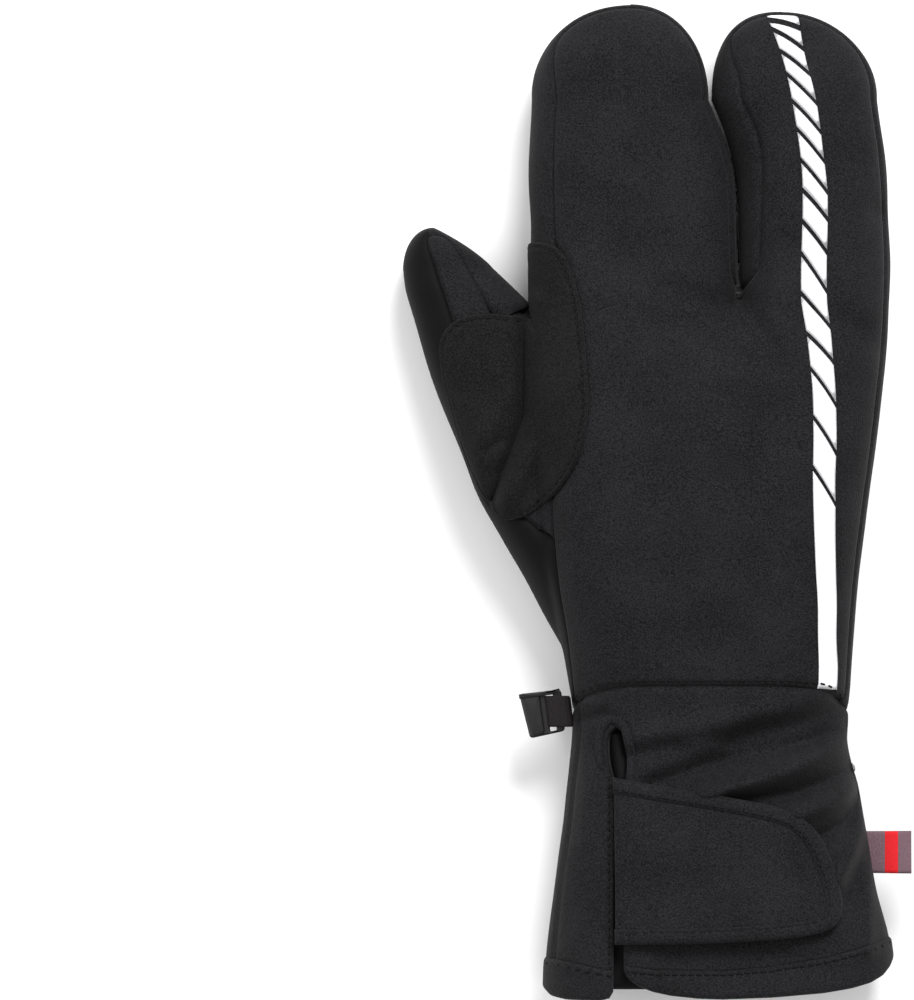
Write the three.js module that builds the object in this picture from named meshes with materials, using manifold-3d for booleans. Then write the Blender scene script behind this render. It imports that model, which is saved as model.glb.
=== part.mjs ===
// Padded winter cycling glove for the right hand: thumb, one lobe for index and middle finger,
// one lobe for ring and little finger, and a gauntlet cuff with a slit and a closing strap.
// The glove lies palm down: +Y runs to the fingertips, +Z up out of the back of the hand,
// and the thumb is on the -X side. All sizes are millimetres.

import * as THREE from 'three';
import Module from 'manifold-3d';
import { mergeVertices } from 'three/addons/utils/BufferGeometryUtils.js';

const wasm = await Module();
wasm.setup();

// Walls, overlays and gaps
const seamGap = 0.3;
const padding = 3.5;
const cuffWall = 2.5;
const patchThickness = 1.2;
const hemThickness = 1.5;
const stripeThickness = 0.6;
const strapThickness = 1.5;
const bindingThickness = 2.2;
const palmLift = patchThickness + seamGap;

// Round sides of every section
const outerRoll = 22;
const slotRoll = 20;
const thumbRoll = 13;
const palmSquareness = 3;
const webCorner = Math.PI / 6;

// The crotch between the two finger lobes
const crotchY = 66;
const valleyLength = 26;

// Where the hand ends and the cuff starts, on the back of the hand and on the palm
const backWristY = -59.5;
const palmWristY = -74;
const hemTop = -145.2;
const cuffEnd = -160;
const splitZ = 22;
const thumbSplitZ = 16;
const farZ = 90;

function table(names, rows) {
  return rows.map((row) => Object.fromEntries(names.map((name, i) => [name, row[i]])));
}

// Outline of the hand and the cuff, one row for each section across the hand
const bodySections = table(['y', 'left', 'right', 'middle', 'height'], [
  [-178, -36.6, 75.6, 19.5, 50.0],
  [-160, -36.2, 75.3, 19.5, 50.0],
  [-150, -35.9, 75.2, 19.5, 49.5],
  [-140, -35.0, 73.9, 19.0, 48.5],
  [-125, -33.2, 70.0, 18.5, 47.0],
  [-105, -30.3, 66.5, 18.0, 45.0],
  [-92, -29.0, 64.2, 17.5, 43.0],
  [-84, -28.1, 61.8, 17.0, 41.5],
  [-77, -27.4, 60.6, 17.0, 40.5],
  [-70, -27.4, 61.3, 17.0, 40.5],
  [-60, -28.1, 61.9, 17.2, 41.5],
  [-45, -31.0, 62.9, 18.0, 43.0],
  [-25, -35.5, 64.5, 19.0, 45.0],
  [-6, -38.0, 66.8, 20.5, 46.5],
  [13, -39.5, 69.4, 22.5, 47.0],
  [33, -40.3, 71.9, 24.5, 46.0],
  [52, -40.4, 73.9, 25.8, 43.5],
  [66, -40.4, 74.6, 26.1, 41.5],
]);

// The lobe of index and middle finger; its outer side faces the thumb
const indexSections = table(['y', 'outer', 'slot', 'height'], [
  [60, -40.4, 25.8, 42.0],
  [66, -40.4, 25.8, 41.5],
  [78, -40.6, 25.5, 39.8],
  [97, -41.3, 25.0, 38.6],
  [105, -41.4, 24.3, 38.3],
  [113, -41.3, 22.5, 38.0],
  [120, -41.1, 20.2, 37.6],
  [129.4, -40.4, 16.5, 37.0],
]);

// The lobe of ring and little finger; its outer side is the edge of the hand
const ringSections = table(['y', 'outer', 'slot', 'height'], [
  [60, 74.4, 26.4, 42.0],
  [66, 74.6, 26.4, 41.5],
  [78, 74.8, 26.5, 39.6],
  [97, 74.1, 26.1, 37.8],
  [105, 73.6, 25.5, 37.3],
  [113, 72.9, 23.8, 36.9],
  [120, 72.0, 21.5, 36.5],
  [129.4, 70.6, 17.5, 36.0],
]);

// Fingertip domes: superellipses that carry on from the last section of a lobe
const domes = {
  index: { y: 129.4, length: 30.6, apex: -8.8, outerPower: 2.1, slotPower: 2.1 },
  ring: { y: 129.4, length: 28.3, apex: 40.0, outerPower: 2.0, slotPower: 2.5 },
  thumb: { y: 75, length: 13.1, apex: -72.5, outerPower: 2.1, slotPower: 1.7 },
};

// The thumb, a slanted cone; its slot side runs into the hand below y = 63
const thumbSections = table(['y', 'outer', 'slot', 'height'], [
  [-56, -25.5, 0.0, 27.0],
  [-38, -35.5, -3.0, 29.0],
  [-25, -42.6, -7.0, 30.0],
  [-12, -50.2, -11.0, 31.0],
  [0, -57.2, -15.0, 31.5],
  [13, -62.3, -18.0, 32.0],
  [26, -67.4, -20.0, 32.0],
  [39, -72.3, -22.0, 31.5],
  [52, -76.1, -29.0, 31.0],
  [63, -79.6, -40.8, 30.0],
  [68, -81.0, -46.2, 29.5],
  [75, -81.9, -53.8, 28.0],
]);

// Folds in the cuff and the back of the hand: a line from one point to the other,
// its half width, and its height above (or depth below) the smooth surface
const backFolds = table(['x1', 'y1', 'x2', 'y2', 'halfWidth', 'rise'], [
  [-6, -86, 62, -66, 7, -1.8],
  [2, -90, 60, -74, 6, 1.8],
  [14, -94, 62, -80, 6, -2.4],
  [34, -98, 66, -88, 6, 2.0],
  [50, -104, 66, -96, 6, -2.0],
  [64, -110, 72, -142, 6, 1.6],
  [57, -104, 64, -140, 6, -1.6],
  [-8, -66, -2, -84, 5, 1.4],
  [-44, 20, -33, 0, 5, -1.6],
  [20, 50, 40, 42, 7, -1.2],
  [60, 58, 70, 50, 6, -1.2],
]);

// Elastic gathers across the palm side of the wrist
const gatherDepth = 1.2;
const gatherReach = 17;

// Cubic curve through one column of a table
function track(rows, name, y) {
  const last = rows.length - 1;
  if (y <= rows[0].y) return rows[0][name];
  if (y >= rows[last].y) return rows[last][name];
  const i = rows.findIndex((row) => row.y > y) - 1;
  const slope = (k) => {
    const a = rows[Math.max(k - 1, 0)];
    const b = rows[Math.min(k + 1, last)];
    return (b[name] - a[name]) / (b.y - a.y);
  };
  const span = rows[i + 1].y - rows[i].y;
  const t = (y - rows[i].y) / span;
  const bend = (1 + 2 * t) * (1 - t) ** 2 * rows[i][name] + t * t * (3 - 2 * t) * rows[i + 1][name];
  return bend + span * (t * (1 - t) ** 2 * slope(i) - t * t * (1 - t) * slope(i + 1));
}

const clamp = (value, low, high) => Math.min(Math.max(value, low), high);
const mix = (a, b, t) => a + (b - a) * t;
const smooth = (t) => clamp(t, 0, 1) ** 2 * (3 - 2 * clamp(t, 0, 1));
const dropOff = (t, power) => Math.max(0, 1 - clamp(t, 0, 1) ** power) ** (1 / power);

// Sum of the folds of the upper side at one place
function foldRise(x, y) {
  let rise = 0;
  for (const fold of backFolds) {
    const dx = fold.x2 - fold.x1;
    const dy = fold.y2 - fold.y1;
    const along = clamp(((x - fold.x1) * dx + (y - fold.y1) * dy) / (dx * dx + dy * dy), 0, 1);
    const away = Math.hypot(x - fold.x1 - along * dx, y - fold.y1 - along * dy);
    rise += fold.rise * Math.exp(-((away / fold.halfWidth) ** 2));
  }
  return rise;
}

// Gathers of the palm side: every second column of the section stands out
function gatherRise(column, y) {
  const reach = Math.exp(-(((y - palmWristY) / gatherReach) ** 2));
  return column % 2 === 0 ? gatherDepth * reach : 0;
}

// Levels of a section at roll angle phi, as parts of its half height
const upperRoll = (phi) => Math.sin(phi);
const lowerRoll = (phi) => (1 - Math.cos(phi) ** palmSquareness) ** (1 / palmSquareness);

// One half of a section, from its outer side to its slot side, as an upper and a lower row of
// points that share the outermost one, and the web points that close the slot side.
// Both rolls are quarter ellipses, and the part between them is level.
function halfSection(half, detail) {
  const { y, outer, slot, height, lift, outerRadius, slotRadius, valley } = half;
  const inwards = Math.sign(slot - outer);
  const rise = height / 2;
  const middle = lift + rise;
  const upper = [];
  const lower = [];
  const add = (x, up, down, place) => {
    const fold = half.folds ? foldRise(x, y) : 0;
    const gather = half.gathers ? gatherRise(upper.length, y) : 0;
    upper.push([x, y, middle + rise * up + fold * place]);
    lower.push([x, y, middle - rise * down + gather * place]);
  };
  for (let k = 0; k <= detail.roll; k += 1) {
    const phi = (k / detail.roll) * (Math.PI / 2);
    add(outer + inwards * outerRadius * (1 - Math.cos(phi)), upperRoll(phi), lowerRoll(phi), k / detail.roll);
  }
  const corner = half.joined ? slotRadius * (1 - Math.cos(webCorner)) : 0;
  const edge = slot + inwards * corner;
  const levelStart = outer + inwards * outerRadius;
  const levelEnd = edge - inwards * slotRadius;
  for (let k = 1; k < detail.level; k += 1) add(mix(levelStart, levelEnd, k / detail.level), 1, 1, 1);
  for (let k = 0; k <= detail.slot; k += 1) {
    const phi = mix(Math.PI / 2, webCorner, k / detail.slot);
    const up = 1 - valley * (1 - upperRoll(phi));
    const down = 1 - valley * (1 - lowerRoll(phi));
    add(edge - inwards * slotRadius * (1 - Math.cos(phi)), up, down, valley < 1 ? 1 : 0);
  }
  const web = [];
  for (let k = 1; k < detail.web; k += 1) {
    const phi = mix(webCorner, -webCorner, k / detail.web);
    const level = phi >= 0 ? rise * upperRoll(phi) : -rise * lowerRoll(-phi);
    const x = half.joined ? slot : edge - inwards * slotRadius * (1 - Math.cos(phi));
    web.push([x, y, middle + level]);
  }
  return { upper, lower, web };
}

// Section of the undivided hand or cuff; index half and ring half meet at its middle column
function bodyHalves(y, inset, detail, crotch) {
  const middle = track(bodySections, 'middle', Math.min(y, crotchY));
  const valley = smooth((y - (crotch - valleyLength)) / valleyLength);
  const shared = {
    y,
    height: track(bodySections, 'height', y) - 2 * inset,
    lift: palmLift + inset,
    outerRadius: outerRoll - inset,
    slotRadius: slotRoll - inset,
    slot: middle,
    joined: true,
    valley,
    folds: true,
    gathers: inset < 1,
  };
  return [
    halfSection({ ...shared, outer: track(bodySections, 'left', y) + inset }, detail),
    halfSection({ ...shared, outer: track(bodySections, 'right', y) - inset }, detail),
  ];
}

// Section of one finger lobe or of the thumb, with the rounding of its tip
function lobeHalf(sections, dome, y, inset, detail, radii) {
  const inwards = Math.sign(sections[0].slot - sections[0].outer);
  const reach = (y - dome.y) / (dome.length - inset);
  let outer = track(sections, 'outer', y) + inwards * inset;
  let slot = track(sections, 'slot', y) - inwards * inset;
  if (reach > 0) {
    const end = sections[sections.length - 1];
    outer = dome.apex + (end.outer + inwards * inset - dome.apex) * dropOff(reach, dome.outerPower);
    slot = dome.apex + (end.slot - inwards * inset - dome.apex) * dropOff(reach, dome.slotPower);
  }
  const fullHeight = track(sections, 'height', y);
  const height = (fullHeight - 2 * inset) * (reach > 0 ? dropOff(reach, 2.2) : 1);
  const lift = radii.lift + inset + 0.6 * (fullHeight - 2 * inset - height);
  const room = Math.abs(slot - outer) / (radii.outer + radii.slot + 1);
  const scale = Math.min(1, room);
  return halfSection({
    y, outer, slot, height, lift, valley: 1, joined: false,
    outerRadius: (radii.outer - inset) * scale,
    slotRadius: (radii.slot - inset) * scale,
  }, detail);
}

// Triangles between two rows of points
function skin(triangles, rowA, rowB, flip) {
  for (let i = 0; i + 1 < rowA.length; i += 1) {
    const quad = flip ? [rowB[i], rowB[i + 1], rowA[i + 1], rowA[i]] : [rowA[i], rowA[i + 1], rowB[i + 1], rowB[i]];
    triangles.push(quad[0], quad[1], quad[2], quad[0], quad[2], quad[3]);
  }
}

function fan(triangles, row, centre, flip) {
  for (let i = 0; i + 1 < row.length; i += 1) {
    if (flip) triangles.push(row[i + 1], row[i], centre);
    else triangles.push(row[i], row[i + 1], centre);
  }
}

// The whole round of a half section, from the slot side over the top to the slot side below
function halfRound(half, withWeb) {
  const round = [...half.upper].reverse().concat(half.lower.slice(1));
  return withWeb ? round.concat([...half.web].reverse(), [half.upper[half.upper.length - 1]]) : round;
}

// A closed solid out of loose triangles, with coincident corners merged
function solidFrom(points) {
  const geometry = new THREE.BufferGeometry();
  geometry.setAttribute('position', new THREE.Float32BufferAttribute(points.flat(), 3));
  return solidOf(geometry);
}

function solidOf(geometry) {
  const bare = geometry.clone();
  bare.deleteAttribute('normal');
  bare.deleteAttribute('uv');
  const merged = mergeVertices(bare, 1e-4);
  const corners = merged.attributes.position;
  const vertProperties = new Float32Array(corners.array);
  const kept = [];
  const index = merged.index.array;
  for (let i = 0; i < index.length; i += 3) {
    const [a, b, c] = [index[i], index[i + 1], index[i + 2]];
    if (a !== b && b !== c && a !== c) kept.push(a, b, c);
  }
  const build = (list) => new wasm.Manifold(new wasm.Mesh({
    numProp: 3, vertProperties, triVerts: new Uint32Array(list),
  }));
  const solid = build(kept);
  if (solid.volume() > 0) return solid;
  const turned = [];
  for (let i = 0; i < kept.length; i += 3) turned.push(kept[i], kept[i + 2], kept[i + 1]);
  return build(turned);
}

// Stations of a lobe: some along its length, then down to the last ring of the dome
function lobeStations(start, dome, inset, steps, domeAngles) {
  const straight = steps.filter((y) => y > start);
  const round = domeAngles.map((angle) => dome.y + (dome.length - inset) * Math.sin(THREE.MathUtils.degToRad(angle)));
  return straight.concat(round);
}

const fine = {
  roll: 4, level: 3, slot: 3, web: 2,
  body: [-92, -82, -72, -60, -40, -16, 10, 32, 46, 57],
  lobe: [70, 80, 92, 105, 117, 129.4],
  dome: [20, 39, 56, 73],
  thumb: [-52, -34, -12, 12, 36, 52, 63, 69, 75],
  thumbDome: [25, 48, 70],
  cuff: [-178, -160, -142, -124, -108, -98, -90, -83, -76, -69, -60, -50],
};
const coarse = {
  roll: 3, level: 2, slot: 2, web: 2,
  body: [-98, -74, -44, -6, 34, 52],
  lobe: [68, 82, 98, 114, 129.4],
  dome: [30, 60],
  thumb: [-44, -18, 14, 44, 63, 75],
  thumbDome: [35, 65],
  cuff: [-184, -148, -126, -104, -90, -78, -66, -46],
};

// The hand with both finger lobes, shrunk by an inset or grown by a negative one
function handSolid(inset, detail) {
  const crotch = crotchY - 1.2 * inset;
  const triangles = [];
  const stations = detail.body.filter((y) => y < crotch - 3).concat([crotch]);
  const sections = stations.map((y) => bodyHalves(y, inset, detail, crotch));
  const radii = { outer: outerRoll, slot: slotRoll, lift: palmLift };
  const sides = [
    { rows: indexSections, dome: domes.index, half: 0, flip: false },
    { rows: ringSections, dome: domes.ring, half: 1, flip: true },
  ];
  for (const side of sides) {
    const halves = sections.map((section) => section[side.half]);
    for (let i = 0; i + 1 < halves.length; i += 1) {
      skin(triangles, halfRound(halves[i], false), halfRound(halves[i + 1], false), side.flip);
    }
    const first = halfRound(halves[0], false);
    const foot = [track(bodySections, 'middle', stations[0]), stations[0], palmLift + 20];
    fan(triangles, first, foot, !side.flip);
    const lobe = lobeStations(crotch + 1, side.dome, inset, detail.lobe, detail.dome)
      .map((y) => lobeHalf(side.rows, side.dome, y, inset, detail, radii));
    const rings = [halves[halves.length - 1], ...lobe].map((half) => halfRound(half, true));
    for (let i = 0; i + 1 < rings.length; i += 1) skin(triangles, rings[i], rings[i + 1], side.flip);
    const tip = tipPoint(side.rows, side.dome, inset, radii.lift);
    fan(triangles, rings[rings.length - 1], tip, side.flip);
  }
  return solidFrom(triangles);
}

function tipPoint(rows, dome, inset, lift) {
  const height = track(rows, 'height', dome.y) - 2 * inset;
  return [dome.apex, dome.y + dome.length - inset, lift + inset + 0.6 * height];
}

function thumbSolid(inset, detail) {
  const triangles = [];
  const radii = { outer: thumbRoll, slot: thumbRoll, lift: palmLift };
  const stations = lobeStations(-99, domes.thumb, inset, detail.thumb, detail.thumbDome);
  const rings = stations
    .map((y) => lobeHalf(thumbSections, domes.thumb, y, inset, detail, radii))
    .map((half) => halfRound(half, true));
  for (let i = 0; i + 1 < rings.length; i += 1) skin(triangles, rings[i], rings[i + 1], false);
  const first = thumbSections[0];
  const foot = [(first.outer + first.slot) / 2, stations[0], palmLift + first.height / 2];
  fan(triangles, rings[0], foot, true);
  fan(triangles, rings[rings.length - 1], tipPoint(thumbSections, domes.thumb, inset, palmLift), false);
  return solidFrom(triangles);
}

function cuffSolid(inset, detail) {
  const triangles = [];
  const sections = detail.cuff.map((y) => bodyHalves(y, inset, detail, crotchY));
  for (const half of [0, 1]) {
    const rounds = sections.map((section) => halfRound(section[half], false));
    const flip = half === 1;
    for (let i = 0; i + 1 < rounds.length; i += 1) skin(triangles, rounds[i], rounds[i + 1], flip);
    const ends = [0, rounds.length - 1];
    for (const end of ends) {
      const y = detail.cuff[end];
      const centre = [track(bodySections, 'middle', y), y, palmLift + 20];
      fan(triangles, rounds[end], centre, (end === 0) !== flip);
    }
  }
  return solidFrom(triangles);
}

// Upright prism over an outline of [x, y] points
function prism(outline, low, high) {
  const shape = new THREE.Shape(outline.map(([x, y]) => new THREE.Vector2(x, y)));
  const geometry = new THREE.ExtrudeGeometry(shape, { depth: high - low, bevelEnabled: false });
  return solidOf(geometry.translate(0, 0, low));
}

function block(x1, x2, y1, y2, z1, z2) {
  return prism([[x1, y1], [x2, y1], [x2, y2], [x1, y2]], z1, z2);
}

// Everything below the slanted plane between hand and cuff, moved along Y by an offset
function belowWrist(offset) {
  const far = -300;
  const slope = (backWristY - palmWristY) / 44;
  const side = [[far, -50], [palmWristY - 50 * slope + offset, -50], [palmWristY + farZ * slope + offset, farZ], [far, farZ]];
  const shape = new THREE.Shape(side.map(([y, z]) => new THREE.Vector2(y, z)));
  const geometry = new THREE.ExtrudeGeometry(shape, { depth: 300, bevelEnabled: false });
  geometry.applyMatrix4(new THREE.Matrix4().makeBasis(
    new THREE.Vector3(0, 1, 0), new THREE.Vector3(0, 0, 1), new THREE.Vector3(1, 0, 0),
  ));
  return solidOf(geometry.translate(-150, 0, 0));
}

// An outline moved outwards by a distance, or inwards by a negative one
function grow(outline, distance) {
  const area = THREE.ShapeUtils.area(outline.map(([x, y]) => new THREE.Vector2(x, y)));
  const turn = Math.sign(area);
  return outline.map((point, i) => {
    const before = outline[(i + outline.length - 1) % outline.length];
    const after = outline[(i + 1) % outline.length];
    const a = new THREE.Vector2(point[0] - before[0], point[1] - before[1]).normalize();
    const b = new THREE.Vector2(after[0] - point[0], after[1] - point[1]).normalize();
    const normal = new THREE.Vector2(a.y + b.y, -a.x - b.x).normalize().multiplyScalar(turn);
    const stretch = 1 / Math.max(0.5, Math.sqrt((1 + a.dot(b)) / 2));
    return [point[0] + normal.x * distance * stretch, point[1] + normal.y * distance * stretch];
  });
}

// Seam round the tip of a lobe, set in from its outline by a margin at each side and at the tip
function tipSeam(sections, dome, margins, steps) {
  const end = sections[sections.length - 1];
  const outerHalf = Math.abs(end.outer - dome.apex);
  const slotHalf = Math.abs(end.slot - dome.apex);
  const inwards = Math.sign(end.slot - end.outer);
  const seam = [];
  for (let k = 0; k <= steps; k += 1) {
    const angle = (k / steps) * Math.PI;
    const outerSide = angle < Math.PI / 2;
    const power = outerSide ? dome.outerPower : dome.slotPower;
    const margin = mix(outerSide ? margins.outer : margins.slot, margins.tip, Math.sin(angle));
    const half = (outerSide ? outerHalf : slotHalf) - margin;
    const across = -Math.sign(Math.cos(angle)) * half * Math.abs(Math.cos(angle)) ** (2 / power);
    const along = (dome.length - margins.tip) * Math.abs(Math.sin(angle)) ** (2 / power);
    seam.push([dome.apex + inwards * across, dome.y + along]);
  }
  return seam;
}

// Straight stretch of a seam beside an edge of a table, from one height to another
function sideSeam(sections, name, margin, ys) {
  return ys.map((y) => [track(sections, name, y) + margin(y), y]);
}

// Distance of the seam of the back panel from the thumb side, and from the slot on the ring lobe
const thumbSideMargins = table(['y', 'margin'], [[-95, 1.0], [-61, 1.0], [-35, 2.5], [-1, 3.6], [40, 6.0], [63, 7.0]]);
const ringSlotMargins = table(['y', 'margin'], [[66, 3.0], [76, 5.2], [100, 6.8], [116, 9.0], [129, 8.6]]);

const backPanelOutline = [
  [30, -98],
  ...sideSeam(bodySections, 'left', (y) => track(thumbSideMargins, 'margin', y), [-98, -61, -45, -25, -1, 20, 40]),
  ...sideSeam(indexSections, 'outer', () => 7, [63, 80, 97, 113]),
  ...tipSeam(indexSections, domes.index, { outer: 6.5, tip: 2.5, slot: 2.5 }, 8),
  ...sideSeam(indexSections, 'slot', () => -2.5, [120, 113, 105, 97, 84, 72]),
  [26.4, 62.5],
  ...sideSeam(ringSections, 'slot', (y) => track(ringSlotMargins, 'margin', y), [72, 84, 97, 105, 113, 120]),
  ...tipSeam(ringSections, domes.ring, { outer: 1.4, tip: 2.5, slot: 8.6 }, 8).reverse(),
  ...sideSeam(ringSections, 'outer', () => -1.4, [113, 97, 80]),
  ...sideSeam(bodySections, 'right', () => -1.4, [60, 33, 13, -6, -25, -45, -61, -98]),
];

// Seam where the thumb is set into the palm, from the crotch of the thumb to the wrist
const thumbSeam = [
  [-40.9, 60], [-26, 40], [-16.1, 28], [-5.6, 21.5], [2.9, 11], [5.8, 2.5], [5.4, -10],
  [0.8, -22.8], [-5.6, -35.5], [-16.1, -48.1], [-26.7, -55.3], [-45, -60],
];
const palmPanelOutline = [
  ...sideSeam(indexSections, 'outer', () => 5, [66, 80, 97, 113]),
  ...tipSeam(indexSections, domes.index, { outer: 5, tip: 6, slot: 3 }, 8),
  ...sideSeam(indexSections, 'slot', () => -3, [120, 113, 105, 97, 84, 72]),
  [26.4, 61.5],
  ...sideSeam(ringSections, 'slot', () => 3, [72, 84, 97, 105, 113, 120]),
  ...tipSeam(ringSections, domes.ring, { outer: 4, tip: 7, slot: 3 }, 8).reverse(),
  ...sideSeam(ringSections, 'outer', () => -4, [113, 97, 80]),
  ...sideSeam(bodySections, 'right', () => -4, [60, 33, 13, -6, -25, -45, -61, -98]),
  [-45, -98],
  ...[...thumbSeam].reverse(),
];

// Edge of the smooth outer thumb panel, on the palm side and on the back
const palmThumbEdge = [
  [-76, 80], [-74.5, 67], [-71, 54], [-63, 38.8], [-53, 24.5], [-40.8, 5.1], [-24.4, -13.5], [-12.1, -25.8],
  [-3.5, -33],
];
const thumbPalmOutline = [
  ...palmThumbEdge,
  ...[...thumbSeam].reverse().slice(4, 12).map(([x, y]) => [x + 0.3, y]),
  [-44.5, 62.5], [-50.5, 68.5], [-56.5, 75], [-61, 80], [-66, 83.6], [-71.5, 84],
];
const backThumbEdge = [
  [-74.8, 84.5], [-73.4, 79], [-71, 72.3], [-68.4, 64.8], [-65.3, 59.2], [-62, 40], [-56, 16], [-48, -2], [-40, -9],
];
const thumbBackOutline = [
  ...backThumbEdge,
  ...sideSeam(bodySections, 'left', (y) => track(thumbSideMargins, 'margin', y), [-9, 20, 40, 60]),
  [-41.5, 62.6], [-49.0, 69.3], [-56, 76], [-61.5, 81.5], [-67, 84.8], [-71.5, 85.6],
];

// Reinforcement patches
const saddleOutline = [
  [-43.4, 61], [-43.4, 83.6], [-40, 83.6], [-34.5, 82.6], [-30.8, 79.7], [-28.4, 75.2], [-25.8, 66], [-24, 53.6],
  [-22.6, 32], [-23.7, 21.6], [-26.5, 12.3], [-31.4, 4.2], [-37.6, -1.3], [-43.7, -4.7], [-48.7, -5.3],
  [-52.4, -3.8], [-55.5, 1.3], [-58.6, 8.1], [-62.3, 17.2], [-65.3, 26.5], [-67.8, 35.2], [-69.4, 42.6],
  [-70, 50.6], [-67.5, 54.6], [-64.8, 58.3], [-60, 59.6],
];
const knucklePatchOutline = [
  [-34.5, 53], [-26.7, 54.2], [-9.8, 55], [15.5, 55], [36.7, 54.5], [53.5, 52.4], [69.6, 47.7], [80, 43],
  [80, -7], [67.1, -0.8], [59.9, 4.6], [49.3, 10.1], [32.4, 16.5], [15.5, 21.5], [-1.3, 25.2], [-14.5, 27.6],
  [-25.5, 40.5],
];
const heelPatchOutline = [
  [15.5, -54], [16.8, -43.9], [21.9, -31.2], [28.2, -18.6], [34.5, -10.1], [40.9, -3], [45.1, -1.2], [53.5, -3.8],
  [66.2, -10.1], [80, -17], [80, -54.5],
];

// Reflective stripe down the ring lobe and the back of the hand
const stripeCourse = table(['y', 'left', 'right'], [
  [-60.8, 51.2, 57.2],
  [-33, 50.6, 56.7],
  [0, 49.2, 56.2],
  [32.6, 49.2, 56.5],
  [52, 47.5, 55.2],
  [65, 45.6, 53.8],
  [97, 46.2, 54.2],
  [110, 45.6, 53.0],
  [129.4, 42.7, 50.4],
  [142.3, 39.8, 47.2],
  [157.4, 34.6, 44.8],
]);
const stripeYs = [-59, -30, 0, 32, 52, 68, 97, 115, 129.4, 142.3, 155.5];
const stripeOutline = [
  ...stripeYs.map((y) => [track(stripeCourse, 'left', y), y]),
  ...[...stripeYs].reverse().map((y) => [track(stripeCourse, 'right', y), y]),
];

// Wrist strap, a closed tab that lies over the slit, and the width of its bound edge
const bindingWidth = 5;
const strapOutline = [
  [-14.2, -89.2], [-3.9, -91.2], [12.3, -94], [28.4, -97.4], [40.6, -100.9], [47.1, -104.2], [52.6, -110.5],
  [56.8, -121], [58.7, -130.7], [57.4, -137.4], [52.6, -140.6], [36.5, -142.3], [12.3, -143.6], [-14.2, -144.2],
];

// Slit in the back of the cuff, with a wider top inside its folded binding
const slit = { left: -14.8, right: -11.6, topLeft: -16.4, topRight: -11, top: -72.5, shoulder: -86 };
const slitOutline = [
  [slit.left, -200], [slit.left, slit.shoulder], [slit.topLeft, slit.top - 5], [slit.topLeft + 1.4, slit.top],
  [slit.topRight - 1, slit.top], [slit.topRight, slit.top - 6], [slit.right, slit.shoulder], [slit.right, -200],
];
const slitBindingOutline = [
  [-17, -88.6], [-19.6, -84], [-20, -76], [-17.8, -70.8], [-14.6, -68.8], [-11.2, -69.8], [-9, -74], [-7.8, -81],
  [-7.2, -88.8], [-10, -89.2], [-10.6, -82], [-11.3, -76], [-12.4, -73], [-14.2, -72.2], [-16, -73.6], [-16.9, -78],
  [-15.4, -88.2],
];
const underlapOutline = [[-25, -157], [-25, -80], [-20, -74.5], [-6, -74.5], [-2, -80], [-2, -157]];

// Webbing loop and clip at the thumb side of the wrist
const clipZ = 22;
const webbing = { end: -34.6, foot: -27.9, low: -73, high: -62.8, thickness: 1, halfHeight: 2.2 };
const clipThickness = 1.8;
const clipHookThickness = 3.8;
const clipOutline = [[-44.2, -62.2], [-31.4, -60.6], [-29.8, -72.8], [-31.0, -74.4], [-41.4, -76.4]];
const clipSlot = [[-36.1, -62.6], [-33.3, -62.3], [-33.0, -73.5], [-35.2, -74]];
const clipHook = [[-44.2, -62.2], [-36.6, -61.3], [-35.8, -74.9], [-41.4, -76.4]];

// Folded tag sewn into the side seam of the cuff
const tagZ = 24;
const tagThickness = 1.2;
const tagOutline = [[67.0, -106.5], [81.9, -106.5], [81.9, -120], [69.5, -120]];

// Colours, roughness and metalness
const finishes = {
  softshell: { color: 0x262629, roughness: 0.9, metalness: 0 },
  smooth: { color: 0x141414, roughness: 0.75, metalness: 0 },
  patch: { color: 0x1e1a1c, roughness: 0.65, metalness: 0 },
  reflective: { color: 0xeeeef2, roughness: 0.45, metalness: 0 },
  webbing: { color: 0x4a4044, roughness: 0.85, metalness: 0 },
  plastic: { color: 0x322e30, roughness: 0.5, metalness: 0 },
  tag: { color: 0x6e5f69, roughness: 0.8, metalness: 0 },
};

const glove = new THREE.Group();

// The largest body of a solid, as a named mesh; crumbs of a cut are left out
function addPiece(name, finish, solid) {
  const bodies = solid.decompose().sort((a, b) => b.volume() - a.volume());
  const mesh = bodies[0].getMesh();
  const geometry = new THREE.BufferGeometry();
  geometry.setAttribute('position', new THREE.Float32BufferAttribute(mesh.vertProperties, 3));
  geometry.setIndex(new THREE.Uint32BufferAttribute(mesh.triVerts, 1));
  geometry.computeVertexNormals();
  const piece = new THREE.Mesh(geometry, new THREE.MeshStandardMaterial(finishes[finish]));
  piece.name = name;
  glove.add(piece);
}

// Hand and thumb as one form, then its padded shell above the wrist
const handForm = (inset, detail) => handSolid(inset, detail).add(thumbSolid(inset, detail));
const shell = handForm(0, fine).subtract(handForm(padding, coarse)).subtract(belowWrist(seamGap / 2));

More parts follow.
